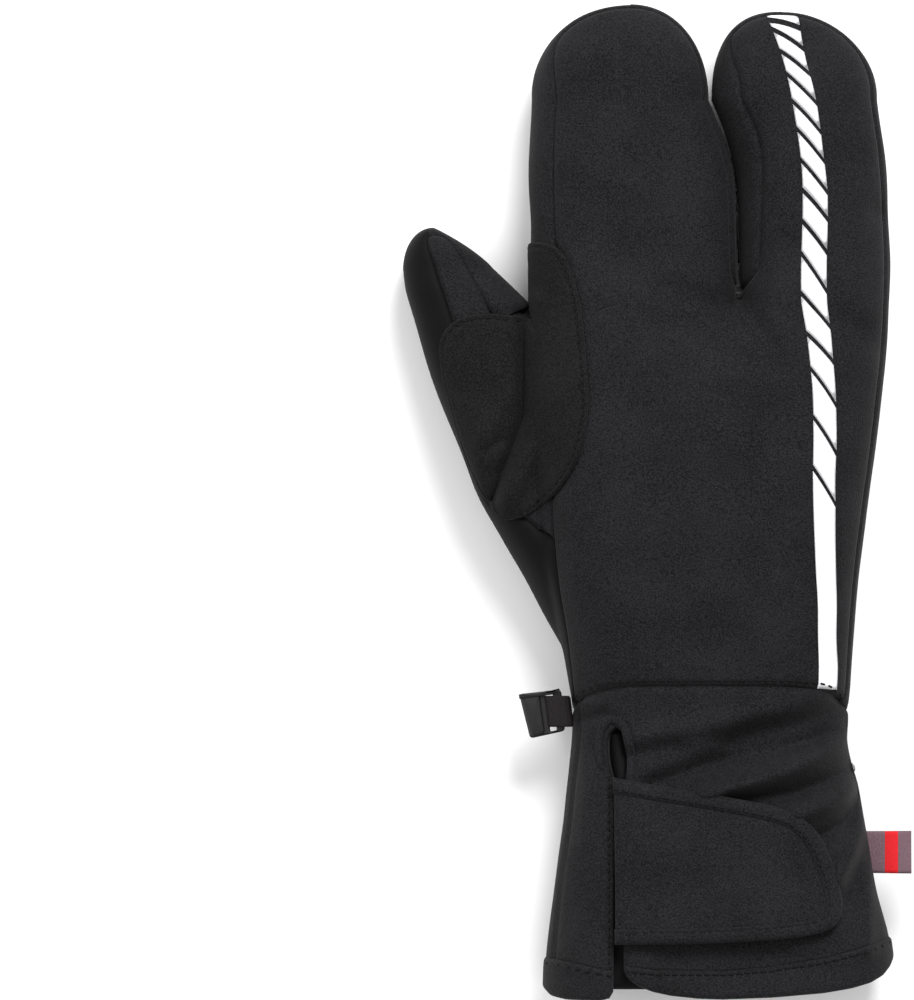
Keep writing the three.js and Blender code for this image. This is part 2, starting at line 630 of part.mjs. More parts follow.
function addPanels() {
  const regions = {
    back: { outline: backPanelOutline, low: splitZ, high: farZ },
    palm: { outline: palmPanelOutline, low: -farZ, high: splitZ },
    thumbBack: { outline: thumbBackOutline, low: thumbSplitZ, high: farZ },
    thumbPalm: { outline: thumbPalmOutline, low: -farZ, high: thumbSplitZ - seamGap },
  };
  const tool = ({ outline, low, high }, margin) => prism(grow(outline, margin), low - margin, high + margin);
  const back = tool(regions.back, 0);
  const palm = tool(regions.palm, -seamGap / 2);
  const widerBack = tool(regions.back, seamGap);
  const widerPalm = tool(regions.palm, seamGap / 2);
  addPiece('back_panel', 'softshell', shell.intersect(back).subtract(widerPalm));
  addPiece('palm_panel', 'softshell', shell.intersect(palm).subtract(widerBack));
  const thumbBack = tool(regions.thumbBack, 0);
  const thumbPalm = tool(regions.thumbPalm, 0);
  addPiece('thumb_back', 'softshell', shell.intersect(thumbBack).subtract(widerBack).subtract(widerPalm));
  addPiece('thumb_palm', 'softshell', shell.intersect(thumbPalm).subtract(widerBack).subtract(widerPalm));
  const rest = shell.subtract(widerBack).subtract(widerPalm)
    .subtract(tool(regions.thumbBack, seamGap)).subtract(tool(regions.thumbPalm, seamGap));
  const gap = seamGap / 2;
  const thumbGap = -41.6;
  const besideThumb = 61.5;
  addPiece('thumb_outer', 'smooth', rest.intersect(
    block(-100, 8, -100, besideThumb - gap, -farZ, farZ).add(block(-100, thumbGap - gap, 40, 100, -farZ, farZ)),
  ));
  const indexTip = domes.index.apex;
  const ringTip = domes.ring.apex;
  addPiece('index_side_gusset', 'softshell', rest.intersect(
    block(thumbGap + gap, indexTip - gap, besideThumb + gap, 200, -farZ, farZ),
  ));
  addPiece('finger_fourchette', 'softshell', rest.intersect(
    block(indexTip + gap, ringTip - gap, 40, 200, -farZ, farZ),
  ));
  addPiece('little_side_gusset', 'softshell', rest.intersect(block(ringTip + gap, 100, -100, 200, -farZ, farZ)));
}

// Layer that follows the hand at a distance, inside an outline
function overlay(name, finish, thickness, outline, low, high) {
  const layer = handForm(-seamGap - thickness, fine).subtract(handForm(-seamGap, fine));
  addPiece(name, finish, layer.intersect(prism(outline, low, high)).subtract(belowWrist(0)));
}

function addCuff() {
  const below = belowWrist(-seamGap / 2);
  const wall = cuffSolid(0, fine).subtract(cuffSolid(cuffWall, coarse));
  const slitTool = prism(slitOutline, splitZ + 4, farZ);
  const upper = block(-200, 200, hemTop, 0, -farZ, farZ);
  addPiece('cuff_gauntlet', 'softshell', wall.intersect(below).intersect(upper).subtract(slitTool));
  const hemBand = cuffSolid(-hemThickness, fine).subtract(cuffSolid(cuffWall, coarse));
  const hemRange = block(-200, 200, cuffEnd, hemTop - seamGap, -farZ, farZ);
  addPiece('cuff_hem', 'softshell', hemBand.intersect(hemRange).subtract(slitTool));
  const lap = cuffSolid(cuffWall + seamGap, coarse).subtract(cuffSolid(cuffWall + seamGap + strapThickness, coarse));
  addPiece('slit_underlap', 'smooth', lap.intersect(prism(underlapOutline, splitZ + 4, farZ)));
  const cuffLayer = (thickness, lift) => cuffSolid(-lift - thickness, fine).subtract(cuffSolid(-lift, fine));
  const onBack = (outline) => prism(outline, splitZ + 8, farZ);
  const last = strapOutline.length - 1;
  const openEnd = (outline, x) => outline.map((point, i) => (i === 0 || i === last ? [x, point[1]] : point));
  const inner = grow(strapOutline, -bindingWidth);
  const strapTool = onBack(openEnd(grow(inner, -seamGap / 2), strapOutline[0][0]));
  const rimTool = onBack(strapOutline).subtract(prism(openEnd(grow(inner, seamGap / 2), -20), -farZ, farZ));
  addPiece('wrist_strap', 'softshell', cuffLayer(strapThickness, seamGap).intersect(strapTool));
  addPiece('strap_binding', 'softshell', cuffLayer(bindingThickness, seamGap).intersect(rimTool));
  addPiece('slit_binding', 'softshell', cuffLayer(strapThickness, seamGap).intersect(onBack(slitBindingOutline)));
}

// Webbing loop: a flat ring seen along Y; clip: a slotted plate with a thicker hook
function addClip() {
  const { end, foot, low, high, thickness, halfHeight } = webbing;
  const ring = new THREE.Shape([[end, -halfHeight], [foot, -halfHeight], [foot, halfHeight], [end, halfHeight]]
    .map(([x, z]) => new THREE.Vector2(x, z)));
  const inside = halfHeight - thickness;
  ring.holes.push(new THREE.Path([
    [end + thickness, -inside], [end + thickness, inside], [foot - thickness, inside], [foot - thickness, -inside],
  ].map(([x, z]) => new THREE.Vector2(x, z))));
  const loop = new THREE.ExtrudeGeometry(ring, { depth: high - low, bevelEnabled: false });
  loop.rotateX(Math.PI / 2);
  loop.translate(0, high, clipZ);
  addPiece('clip_webbing', 'webbing', solidOf(loop));
  const plate = prism(clipOutline, clipZ - clipThickness / 2, clipZ + clipThickness / 2)
    .subtract(prism(clipSlot, -farZ, farZ));
  const hook = prism(clipHook, clipZ - clipHookThickness / 2, clipZ + clipHookThickness / 2);
  addPiece('clip', 'plastic', plate.add(hook));
}

addPanels();
overlay('saddle_patch', 'patch', patchThickness, saddleOutline, 14, farZ);
overlay('knuckle_patch', 'patch', patchThickness, knucklePatchOutline, -farZ, 14);
overlay('heel_patch', 'patch', patchThickness, heelPatchOutline, -farZ, 14);
overlay('reflective_stripe', 'reflective', stripeThickness, stripeOutline, splitZ + 4, farZ);
addCuff();
addClip();
addPiece('side_tag', 'tag', prism(tagOutline, tagZ - tagThickness / 2, tagZ + tagThickness / 2));

export default glove;
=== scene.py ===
"""Padded three-finger winter glove for the right hand, lying palm down.

Sizes in the tables are millimetres in the frame of the CAD model: +Y to the fingertips, +Z up out of
the back of the hand, and the thumb on the -X side. Meshes are written in metres.
"""
import math

import bpy
import numpy as np
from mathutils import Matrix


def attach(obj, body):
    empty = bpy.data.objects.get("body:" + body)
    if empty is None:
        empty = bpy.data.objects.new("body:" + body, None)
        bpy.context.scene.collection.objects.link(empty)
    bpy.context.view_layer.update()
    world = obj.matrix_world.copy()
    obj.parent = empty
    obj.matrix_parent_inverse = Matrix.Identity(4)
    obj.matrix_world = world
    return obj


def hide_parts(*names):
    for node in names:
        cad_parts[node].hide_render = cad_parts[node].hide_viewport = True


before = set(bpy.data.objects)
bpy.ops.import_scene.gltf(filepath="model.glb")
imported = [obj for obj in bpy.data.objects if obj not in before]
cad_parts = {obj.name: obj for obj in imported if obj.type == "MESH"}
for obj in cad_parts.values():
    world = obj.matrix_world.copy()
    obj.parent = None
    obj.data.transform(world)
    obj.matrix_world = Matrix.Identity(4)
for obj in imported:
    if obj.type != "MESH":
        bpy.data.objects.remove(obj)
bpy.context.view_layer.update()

bl_info = {
    "name": "Three-finger winter glove",
    "version": (1, 0, 0),
    "blender": (4, 5, 0),
    "location": "View3D > Sidebar > Glove",
    "description": "Builds the padded panels, patches, cuff and fittings of a winter glove",
    "category": "Object",
}

MM = 0.001

# Outline of hand and cuff: y, left, right, middle, height
BODY = np.array([
    [-178, -36.6, 75.6, 19.5, 50.0], [-160, -36.2, 75.3, 19.5, 50.0], [-150, -35.9, 75.2, 19.5, 49.5],
    [-140, -35.0, 73.9, 19.0, 48.5], [-125, -33.2, 70.0, 18.5, 47.0], [-105, -30.3, 66.5, 18.0, 45.0],
    [-92, -29.0, 64.2, 17.5, 43.0], [-84, -28.1, 61.8, 17.0, 41.5], [-77, -27.4, 60.6, 17.0, 40.5],
    [-70, -27.4, 61.3, 17.0, 40.5], [-60, -28.1, 61.9, 17.2, 41.5], [-45, -31.0, 62.9, 18.0, 43.0],
    [-25, -35.5, 64.5, 19.0, 45.0], [-6, -38.0, 66.8, 20.5, 46.5], [13, -39.5, 69.4, 22.5, 47.0],
    [33, -40.3, 71.9, 24.5, 46.0], [52, -40.4, 73.9, 25.8, 43.5], [66, -40.4, 74.6, 26.1, 41.5],
])
# Lobes and thumb: y, outer edge, slot edge, height
INDEX = np.array([
    [60, -40.4, 25.8, 42.0], [66, -40.4, 25.8, 41.5], [78, -40.6, 25.5, 39.8], [97, -41.3, 25.0, 38.6],
    [105, -41.4, 24.3, 38.3], [113, -41.3, 22.5, 38.0], [120, -41.1, 20.2, 37.6],
    [129.4, -40.4, 16.5, 37.0],
])
RING = np.array([
    [60, 74.4, 26.4, 42.0], [66, 74.6, 26.4, 41.5], [78, 74.8, 26.5, 39.6], [97, 74.1, 26.1, 37.8],
    [105, 73.6, 25.5, 37.3], [113, 72.9, 23.8, 36.9], [120, 72.0, 21.5, 36.5], [129.4, 70.6, 17.5, 36.0],
])
THUMB = np.array([
    [-56, -25.5, 0.0, 27.0], [-38, -35.5, -3.0, 29.0], [-25, -42.6, -7.0, 30.0], [-12, -50.2, -11.0, 31.0],
    [0, -57.2, -15.0, 31.5], [13, -62.3, -18.0, 32.0], [26, -67.4, -20.0, 32.0], [39, -72.3, -22.0, 31.5],
    [52, -76.1, -29.0, 31.0], [63, -79.6, -40.8, 30.0], [68, -81.0, -46.2, 29.5], [75, -81.9, -53.8, 28.0],
])
# Tip domes: start, length, apex, power of the outer side, power of the slot side
INDEX_DOME = (129.4, 30.6, -8.8, 2.1, 2.1)
RING_DOME = (129.4, 28.3, 40.0, 2.0, 2.5)
THUMB_DOME = (75.0, 13.1, -72.5, 2.1, 1.15)

# Height of the palm above the table, and radii of the rolled edges
PALM_LIFT = 1.5
OUTER_ROLL = 22.0
SLOT_ROLL = 20.0
THUMB_ROLL = 13.0
# Crotch between the lobes in plan, and Y of the panels' seams there and at the crotch of the thumb
CROTCH = (26.1, 66.0)
BACK_CROTCH = 65.5
INDEX_SIDE_START = 58.0
# Inset of the back seams at the tips, and from the slot on the index lobe
BACK_TIP = 0.7
INDEX_SLOT_MARGIN = 1.7
PALM_CROTCH = 61.5
# Margins of the back panel's seams beside the index lobe and the little finger, and of the palm panel's
# beside the index lobe, the slot and the little finger, with the palm's insets at the tips of its two lobes
BACK_INDEX_MARGIN = 7
BACK_LITTLE_MARGIN = 1.4
PALM_INDEX_MARGIN = 5
PALM_SLOT_MARGIN = 3
PALM_LITTLE_MARGIN = 4
PALM_TIPS = (6, 7)
# Y at which the rows of the back, the silhouette and the palm start, before they are bent to the wrist seam
BACK_FOOT = -60
EDGE_FOOT = -67
PALM_FOOT = -73
# Factor on lengths along Y below the crotch, which draws the valley out towards the wrist
VALLEY_STRETCH = 0.8
# Plane between hand and cuff: its Y at the table, and how much that grows with height
WRIST_Y = -74.0
WRIST_SLOPE = 14.5 / 44
# Thickness of the padded panels and of the gauntlet
PAD_WALL = 3.3
CUFF_WALL = 2.3

# Distance of the back panel's seam from the thumb side, and from the slot on the ring lobe
THUMB_SIDE_MARGIN = np.array([
    [-95, 1.0], [-61, 1.0], [-35, 2.5], [-1, 3.6], [40, 6.0], [63, 7.0], [130, 7.0],
])
RING_SLOT_MARGIN = np.array([[66, 3.0], [76, 5.2], [100, 6.8], [116, 9.0], [129, 8.6]])

# Left edge of the palm panel: y, x
PALM_LEFT = np.array([
    [-74, -20.0], [-60, -19.0], [-48.1, -16.1], [-35.5, -5.6], [-22.8, 0.8], [-10, 5.4], [2.5, 5.8],
    [11, 2.9],
    [21.5, -5.6], [28, -16.1], [40, -26.0], [60, -40.0], [66, -35.4],
])

# Upper and lower edge of the wrist strap, from the slit to its round end
STRAP_TOP = (
    (-14.2, -89.0), (-3.9, -91.0), (12.3, -93.6), (28.4, -96.4), (38.6, -98.8), (45.6, -102.0),
    (51.4, -108.8),
    (55.6, -119.6), (57.4, -129.6),
)
STRAP_BOTTOM = (
    (-14.2, -142.4), (12.3, -142.0), (36.5, -140.8), (50.6, -138.8), (55.8, -135.8), (57.4, -129.6),
)
# Where the strap's cloth and its bound edge are sewn to the gauntlet beside the slit
STRAP_START = -14.0
BINDING_START = -14.2
BINDING_WIDTH = 5.0
# Slit in the back of the cuff: y, left edge, right edge
SLIT = np.array([
    [-165, -14.8, -11.4], [-100, -14.8, -11.6], [-90, -14.9, -11.2], [-84, -16.4, -9.8], [-78, -16.9, -9.9],
    [-75, -16.2, -11.0], [-73.2, -14.6, -12.8], [-72.4, -13.7, -13.7], [-55, -13.7, -13.7],
])
# Loop of folded cloth round the top of the slit, along its middle
SLIT_LOOP = (
    (-16.4, -90.0), (-18.3, -84.5), (-18.7, -77.5), (-17.2, -72.2), (-14.5, -70.2), (-11.7, -71.6),
    (-9.9, -75.5),
    (-8.9, -82.0), (-8.3, -94.0),
)
# Reinforcement over the web of the thumb: right edge, crease, left and top edge, from the foot upwards
SADDLE_RIGHT = (
    (-48.7, -6.2), (-42.7, -4.9), (-37.0, -1.3), (-31.4, 4.2), (-26.5, 12.3), (-23.7, 21.6), (-22.6, 32.0),
    (-24.0, 53.6), (-25.8, 66.0), (-28.4, 75.2), (-30.8, 79.7), (-34.5, 82.6), (-40.5, 83.6),
)
SADDLE_CREASE = (
    (-48.7, -6.2), (-50.4, -1.2), (-47.6, 8.8), (-43.9, 18.8), (-41.6, 26.6), (-40.9, 36.0), (-40.8, 48.0),
    (-40.6, 58.4), (-40.5, 66.0), (-40.6, 74.0), (-40.7, 79.0), (-40.7, 82.5), (-40.5, 83.6),
)
SADDLE_LEFT = (
    (-48.7, -6.2), (-52.2, -3.4), (-55.5, 1.3), (-58.6, 8.1), (-62.3, 17.2), (-65.3, 26.5), (-67.8, 35.2),
    (-69.4, 42.6), (-70.1, 49.0), (-69.5, 53.4), (-66.6, 57.0), (-62.4, 59.2), (-57.5, 60.1), (-52.5, 60.2),
    (-46.5, 59.4), (-40.6, 58.4),
)
# Reflective stripe: y, left edge, right edge; and its black cuts from its left to its right edge
STRIPE = np.array([
    [-60.8, 51.2, 57.2], [-33, 50.6, 56.7], [0, 49.2, 56.2], [32.6, 49.2, 56.5], [52, 47.5, 55.2],
    [65, 45.6, 53.8],
    [97, 46.2, 54.2], [110, 45.6, 53.0], [129.4, 42.7, 50.4], [142.3, 39.8, 47.2], [157.4, 34.6, 44.8],
])
STRIPE_CUTS = (
    (154.6, 152.0), (151.6, 145.2), (144.5, 137.1), (137.1, 127.7), (128.4, 118.4), (119.4, 109.0),
    (109.4, 99.0),
    (99.7, 90.3), (89.7, 79.7), (79.4, 67.1), (66.5, 55.8), (53.6, 44.5), (42.3, 30.6), (26.8, 15.2),
    (10.6, -1.0),
)
# Y of the stripe's upper and lower end at its two edges
STRIPE_TOP = (156.4, 156.3)
STRIPE_FOOT = (-60.2, -60.8)
CUT_WIDTH = 1.9
STITCH_PITCH = 2.5
# Edges of the palm's two reinforcements, and the middle lines of the prints on them
KNUCKLE_TOP = (
    (-34.5, 53.0), (-26.7, 54.2), (-9.8, 55.0), (15.5, 55.0), (36.7, 54.5), (53.5, 52.4), (69.0, 48.0),
)
KNUCKLE_BOTTOM = (
    (-34.5, 53.0), (-25.5, 40.5), (-14.5, 27.6), (-1.3, 25.2), (15.5, 21.5), (32.4, 16.5), (49.3, 10.1),
    (59.9, 4.6),
    (63.4, 1.4),
)
HEEL_TOP = (
    (15.5, -54.0), (16.8, -43.9), (21.9, -31.2), (28.2, -18.6), (34.5, -10.1), (40.9, -3.0), (45.1, -1.2),
    (53.5, -3.8), (61.6, -8.0),
)
HEEL_BOTTOM = ((15.5, -54.0), (26.0, -54.3), (38.0, -54.5), (48.0, -54.5), (58.4, -54.5))
BAND_LINE = (
    (-30.5, 43.4), (-18.2, 45.6), (-1.3, 46.9), (19.8, 46.0), (40.9, 43.9), (55.7, 40.5), (66.0, 37.4),
)
HEEL_BARS = (((25.0, -21.5), (42.0, -38.0), (54.0, -51.0)), ((35.5, -11.5), (48.0, -23.5), (58.0, -34.5)))

# Folds of the upper side: half width, rise above the smooth form, points along the fold
FOLDS = (
    (4.5, -2.8, ((24.0, -76.5), (38.0, -73.0), (51.0, -69.0), (58.0, -66.0))),
    (4.0, 1.2, ((20.0, -71.5), (40.0, -66.5), (56.0, -62.0))),
    (4.0, -3.2, ((-2.0, -91.0), (17.7, -84.5), (40.0, -79.5), (60.0, -74.5))),
    (2.8, 2.8, ((14.0, -94.4), (30.3, -90.0), (44.0, -84.8), (52.0, -80.8), (60.0, -76.0))),
    (3.6, -3.4, ((24.0, -96.5), (42.0, -94.5), (53.0, -90.5), (61.0, -86.5))),
    (2.5, 2.6, ((44.0, -100.5), (54.0, -97.0), (61.5, -92.5))),
    (3.4, -3.4, ((51.0, -108.5), (58.5, -104.0), (63.0, -99.0), (65.0, -92.0))),
    (2.4, 2.4, ((57.0, -122.0), (61.5, -113.5), (65.0, -106.0), (66.0, -98.0))),
    (3.4, -1.8, ((60.5, -128.0), (64.0, -119.0), (67.5, -110.0))),
    (2.6, 1.6, ((67.0, -144.0), (67.6, -130.0), (67.0, -117.0))),
    (3.6, -1.6, ((-8.5, -82.0), (-2.0, -80.6), (5.2, -79.3))),
    (3.4, 1.2, ((-6.0, -76.5), (6.0, -73.5), (20.0, -71.5))),
    (2.2, -1.6, ((-25.5, -69.6), (-21.0, -69.2), (-17.0, -68.4))),
    (3.0, 1.2, ((-24.5, -76.0), (-23.0, -90.0), (-24.5, -110.0))),
    (6.0, -1.2, ((4.0, -146.0), (28.0, -147.5), (40.0, -146.0))),
    (4.2, -1.5, ((2.0, 68.5), (12.0, 65.0), (22.0, 62.5))),
    (4.0, -1.3, ((28.5, 61.0), (34.0, 53.0), (39.0, 44.0))),
    (5.0, -0.9, ((8.0, 56.0), (20.0, 50.0), (30.0, 44.0))),
    (5.0, -1.2, ((60.0, 58.0), (66.0, 54.0), (72.0, 49.0))),
    (3.0, -1.4, ((70.0, 93.0), (75.0, 92.0), (80.0, 91.0))),
)
# Factor on the rise of every fold
FOLD_GAIN = 1.55
# Crease between thumb and hand, and the puffs beside it
WEB_FOLDS = (
    (2.3, -3.4, ((-43.2, 60.0), (-43.4, 48.0), (-43.4, 36.0), (-43.6, 27.0), (-46.6, 18.5), (-50.0, 9.0),
                 (-52.4, 1.0))),
    (3.2, 1.4, ((-37.6, 64.0), (-37.4, 48.0), (-37.4, 36.0), (-37.8, 26.0), (-40.8, 17.5), (-44.4, 8.5),
                (-48.0, 1.5))),
    (2.6, 1.0, ((-51.0, 30.0), (-55.0, 22.0), (-57.5, 12.0))),
    (2.2, -1.0, ((-51.0, 20.0), (-55.5, 16.5))),
    (2.0, -0.8, ((-50.5, 12.5), (-52.5, 10.0))),
)


def track(rows, column, y):
    """Cubic Hermite curve through one column of a table; slopes come from the rows on either side."""
    ys, values = rows[:, 0], rows[:, column]
    count = len(ys)
    before = np.maximum(np.arange(count) - 1, 0)
    after = np.minimum(np.arange(count) + 1, count - 1)
    slope = (values[after] - values[before]) / (ys[after] - ys[before])
    y = np.clip(y, ys[0], ys[-1])
    i = np.clip(np.searchsorted(ys, y, side="right") - 1, 0, count - 2)
    span = ys[i + 1] - ys[i]
    t = (y - ys[i]) / span
    bend = (1 + 2 * t) * (1 - t) ** 2 * values[i] + t * t * (3 - 2 * t) * values[i + 1]
    return bend + span * (t * (1 - t) ** 2 * slope[i] - t * t * (1 - t) * slope[i + 1])


def smoothstep(t):
    """Three t squared minus two t cubed, on t cut to 0..1."""
    t = np.clip(t, 0, 1)
    return t * t * (3 - 2 * t)


def drop_off(t, power):
    """Superellipse quarter: one minus t to a power, to one over that power."""
    return np.maximum(0, 1 - np.clip(t, 0, 1) ** power) ** (1 / power)


def roll_up(inside, radius):
    """Quarter circle: the sine whose versine is the distance inside the edge over the radius."""
    c = 1 - np.clip(inside / radius, 0, 1)
    return np.sqrt(np.maximum(0, 1 - c * c))


def roll_down(inside, radius):
    """Squarer quarter: the third root of one minus the cube of the same cosine."""
    c = 1 - np.clip(inside / radius, 0, 1)
    return np.maximum(0, 1 - c ** 3) ** (1 / 3)


def levels(inside_a, inside_b, radius_a, radius_b, lift, height):
    """Middle level plus and minus half the height times the two rolls; outside it falls away steeply."""
    outside = np.maximum(0, -np.minimum(inside_a, inside_b))
    half = height / 2
    middle = lift + half
    up = middle + half * roll_up(inside_a, radius_a) * roll_up(inside_b, radius_b) - 8 * outside
    down = middle - half * roll_down(inside_a, radius_a) * roll_down(inside_b, radius_b) + 8 * outside
    return up, down


def lobe_edges(rows, dome, y):
    """Outer and slot edge of a lobe; past its last section both follow superellipses to the apex."""
    start, length, apex, outer_power, slot_power = dome
    reach = (y - start) / length
    outer = apex + (track(rows, 1, y) - apex) * drop_off(reach, outer_power)
    slot = apex + (track(rows, 2, y) - apex) * drop_off(reach, slot_power)
    return outer, slot


def lobe_levels(x, y, rows, dome, outer_roll, slot_roll):
    """Upper and lower level of a lobe; height falls to nothing at the tip as its middle rises."""
    outer, slot = lobe_edges(rows, dome, y)
    side = np.sign(rows[0, 2] - rows[0, 1])
    full = track(rows, 3, y)
    height = full * drop_off((y - dome[0]) / dome[1], 2.2)
    lift = PALM_LIFT + 0.6 * (full - height)
    scale = np.clip(np.abs(slot - outer) / (outer_roll + slot_roll + 1), 1e-3, 1)
    return levels((x - outer) * side, (slot - x) * side, outer_roll * scale, slot_roll * scale, lift, height)


def slot_middle(y):
    """Middle of the gap between the two finger lobes."""
    return (lobe_edges(INDEX, INDEX_DOME, y)[1] + lobe_edges(RING, RING_DOME, y)[1]) / 2


def fold_rise(x, y, folds=FOLDS):
    """Sum of bell curves of the distance from each fold line."""
    rise = np.zeros(np.broadcast(x, y).shape)
    for width, depth, points in folds:
        peak = FOLD_GAIN * depth
        nearest = np.full(rise.shape, 1e9)
        for (x1, y1), (x2, y2) in zip(points, points[1:]):
            dx, dy = x2 - x1, y2 - y1
            along = np.clip(((x - x1) * dx + (y - y1) * dy) / (dx * dx + dy * dy), 0, 1)
            nearest = np.minimum(nearest, np.hypot(x - x1 - along * dx, y - y1 - along * dy))
        rise = rise + peak * np.exp(-((nearest / width) ** 2))
    return rise


def crown(x, left, right):
    """Slight arch across the back, 0.8 at the middle and down to -0.4 at the sides."""
    across = np.clip((2 * x - left - right) / (right - left), -1, 1)
    return 0.8 - 1.2 * across ** 2


def gathers(x, y):
    """Elastic gathers on the palm side of the wrist: a wave across, fading away from the wrist line."""
    reach = np.exp(-(((y - WRIST_Y) / 12) ** 2))
    sewn = np.exp(-(((y - WRIST_Y - 4) / 1.6) ** 2)) + np.exp(-(((y - WRIST_Y + 5) / 1.6) ** 2))
    wave = np.cos(2 * np.pi * x / 6.6 + 0.9 * np.sin(x / 9 + y / 8))
    return reach * (1.7 * wave - 1.6) - 1.1 * sewn


def under_strap(x, y):
    """One below the strap and nothing outside it, with a soft border."""
    top = np.interp(x, [p[0] for p in STRAP_TOP], [p[1] for p in STRAP_TOP])
    bottom = np.interp(x, [p[0] for p in STRAP_BOTTOM], [p[1] for p in STRAP_BOTTOM])
    along = smoothstep((x + 16) / 3) * smoothstep((58 - x) / 4)
    return along * smoothstep((top - y) / 4) * smoothstep((y - bottom) / 4)


def hand_levels(x, y, folded=True):
    """Upper and lower level of cuff, hand and finger lobes, before the thumb is joined to them."""
    x, y = np.broadcast_arrays(np.asarray(x, float), np.asarray(y, float))
    left, right = track(BODY, 1, y), track(BODY, 2, y)
    short_of_crotch = VALLEY_STRETCH * (CROTCH[1] - np.minimum(y, CROTCH[1]))
    away = np.hypot(np.maximum(np.abs(x - CROTCH[0]) - 0.3, 0), short_of_crotch)
    height = track(BODY, 4, y)
    up, down = levels(x - left, right - x, OUTER_ROLL, OUTER_ROLL, PALM_LIFT, height)
    middle = PALM_LIFT + height / 2
    up = middle + (up - middle) * roll_up(away, SLOT_ROLL)
    down = middle + (down - middle) * roll_down(away, SLOT_ROLL)
    index = lobe_levels(x, y, INDEX, INDEX_DOME, OUTER_ROLL, SLOT_ROLL)
    ring = lobe_levels(x, y, RING, RING_DOME, OUTER_ROLL, SLOT_ROLL)
    on_index = x < slot_middle(y)
    lobe_up = np.where(on_index, index[0], ring[0])
    lobe_down = np.where(on_index, index[1], ring[1])
    up = np.where(y < CROTCH[1], up, lobe_up)
    down = np.where(y < CROTCH[1], down, lobe_down)
    fullness = np.clip((up - down) / 14, 0, 1)
    rise = (fold_rise(x, y) * (1 - under_strap(x, y)) if folded else 0) + crown(x, left, right)
    return up + fullness * rise, down - fullness * gathers(x, y)


def upper(x, y):
    """Top of the glove: smooth maximum of hand and thumb, softer towards the foot of the thumb."""
    hand = hand_levels(x, y)[0]
    inner_limit = track(THUMB, 2, np.clip(y, -50, 76)) - 9.0 + 9.0 * smoothstep((np.asarray(y) - 50) / 12)
    own, carried_on = (
        lobe_levels(place, y, THUMB, THUMB_DOME, THUMB_ROLL, THUMB_ROLL)[0]
        for place in (x, np.minimum(x, inner_limit))
    )
    thumb = np.maximum(own, carried_on * (1 - smoothstep((x - inner_limit) / 14)))
    softness = 2.2 + 5 * smoothstep((50 - y) / 60)
    mix = np.clip(0.5 + (hand - thumb) / (2 * softness), 0, 1)
    top = thumb + (hand - thumb) * mix + softness * mix * (1 - mix)
    return top + fold_rise(x, y, WEB_FOLDS) * smoothstep((top - 16) / 9)


def cuff_top(x, y):
    """Top of the cuff without its folds, which the strap lies on."""
    return hand_levels(x, y, folded=False)[0]


def lower(x, y):
    """Underside of the glove: smooth minimum of hand and thumb."""
    hand = hand_levels(x, y)[1]
    thumb = lobe_levels(x, y, THUMB, THUMB_DOME, THUMB_ROLL, THUMB_ROLL)[1]
    softness = 2.5
    mix = np.clip(0.5 + (thumb - hand) / (2 * softness), 0, 1)
    return thumb + (hand - thumb) * mix - softness * mix * (1 - mix)


def wrist_y(x, level):
    """Where the slanted plane between hand and cuff meets a side of the glove, in four steps."""
    y = np.full(np.shape(x), -66.0)
    for _ in range(4):
        y = WRIST_Y + WRIST_SLOPE * level(x, y)
    return y


def even(points, count):
    """Points spaced evenly along a polyline."""
    points = np.asarray(points, float)
    steps = np.r_[0, np.cumsum(np.linalg.norm(np.diff(points, axis=0), axis=1))]
    at = np.linspace(0, steps[-1], count)
    return np.stack([np.interp(at, steps, points[:, k]) for k in range(points.shape[1])], -1)


def smooth_line(points, count, closed=False):
    """Catmull-Rom curve through points, spaced evenly."""
    points = np.asarray(points, float)
    if closed:
        points = np.vstack([points, points[:1]])
        ghost = [points[-2], points[1]]
    else:
        ghost = [2 * points[0] - points[1], 2 * points[-1] - points[-2]]
    p = np.vstack([ghost[0], points, ghost[1]])
    t = np.linspace(0, 1, 12, endpoint=False)[:, None]
    parts = []
    for k in range(1, len(p) - 2):
        a, b, c, d = p[k - 1:k + 3]
        parts.append(0.5 * (2 * b + (c - a) * t + (2 * a - 5 * b + 4 * c - d) * t ** 2
                            + (3 * b - 3 * c + d - a) * t ** 3))
    fine = np.vstack(parts + [points[-1:]])
    return even(fine, count)


def crowded(count, crowd=0.8):
    """Fractions from 0 to 1, closer together at both ends."""
    u = np.linspace(0, 1, count)
    return (1 - crowd) * u + crowd * (1 - np.cos(np.pi * u)) / 2


def between(left, right, count, crowd=0.8):
    """Grid whose rows run straight from one seam to the other."""
    f = crowded(count, crowd)[None, :, None]
    return left[:, None, :] * (1 - f) + right[:, None, :] * f


def raised(plan, level):
    """Plan points with the level of the glove as their third coordinate."""
    return np.dstack([plan, level(plan[..., 0], plan[..., 1])])


def over_edge(dorsal, edge, palmar, upper_count, lower_count):
    """Strip that runs over the side of the glove: down its top to the silhouette, on along its underside."""
    shrink_a = (1 - np.cos(np.linspace(0, np.pi / 2, upper_count)))[::-1][None, :, None]
    shrink_b = (1 - np.cos(np.linspace(0, np.pi / 2, lower_count)))[None, :, None]
    top = edge[:, None, :] + (dorsal - edge)[:, None, :] * shrink_a
    below = edge[:, None, :] + (palmar - edge)[:, None, :] * shrink_b
    return np.concatenate([raised(top, upper), raised(below, lower)], axis=1)


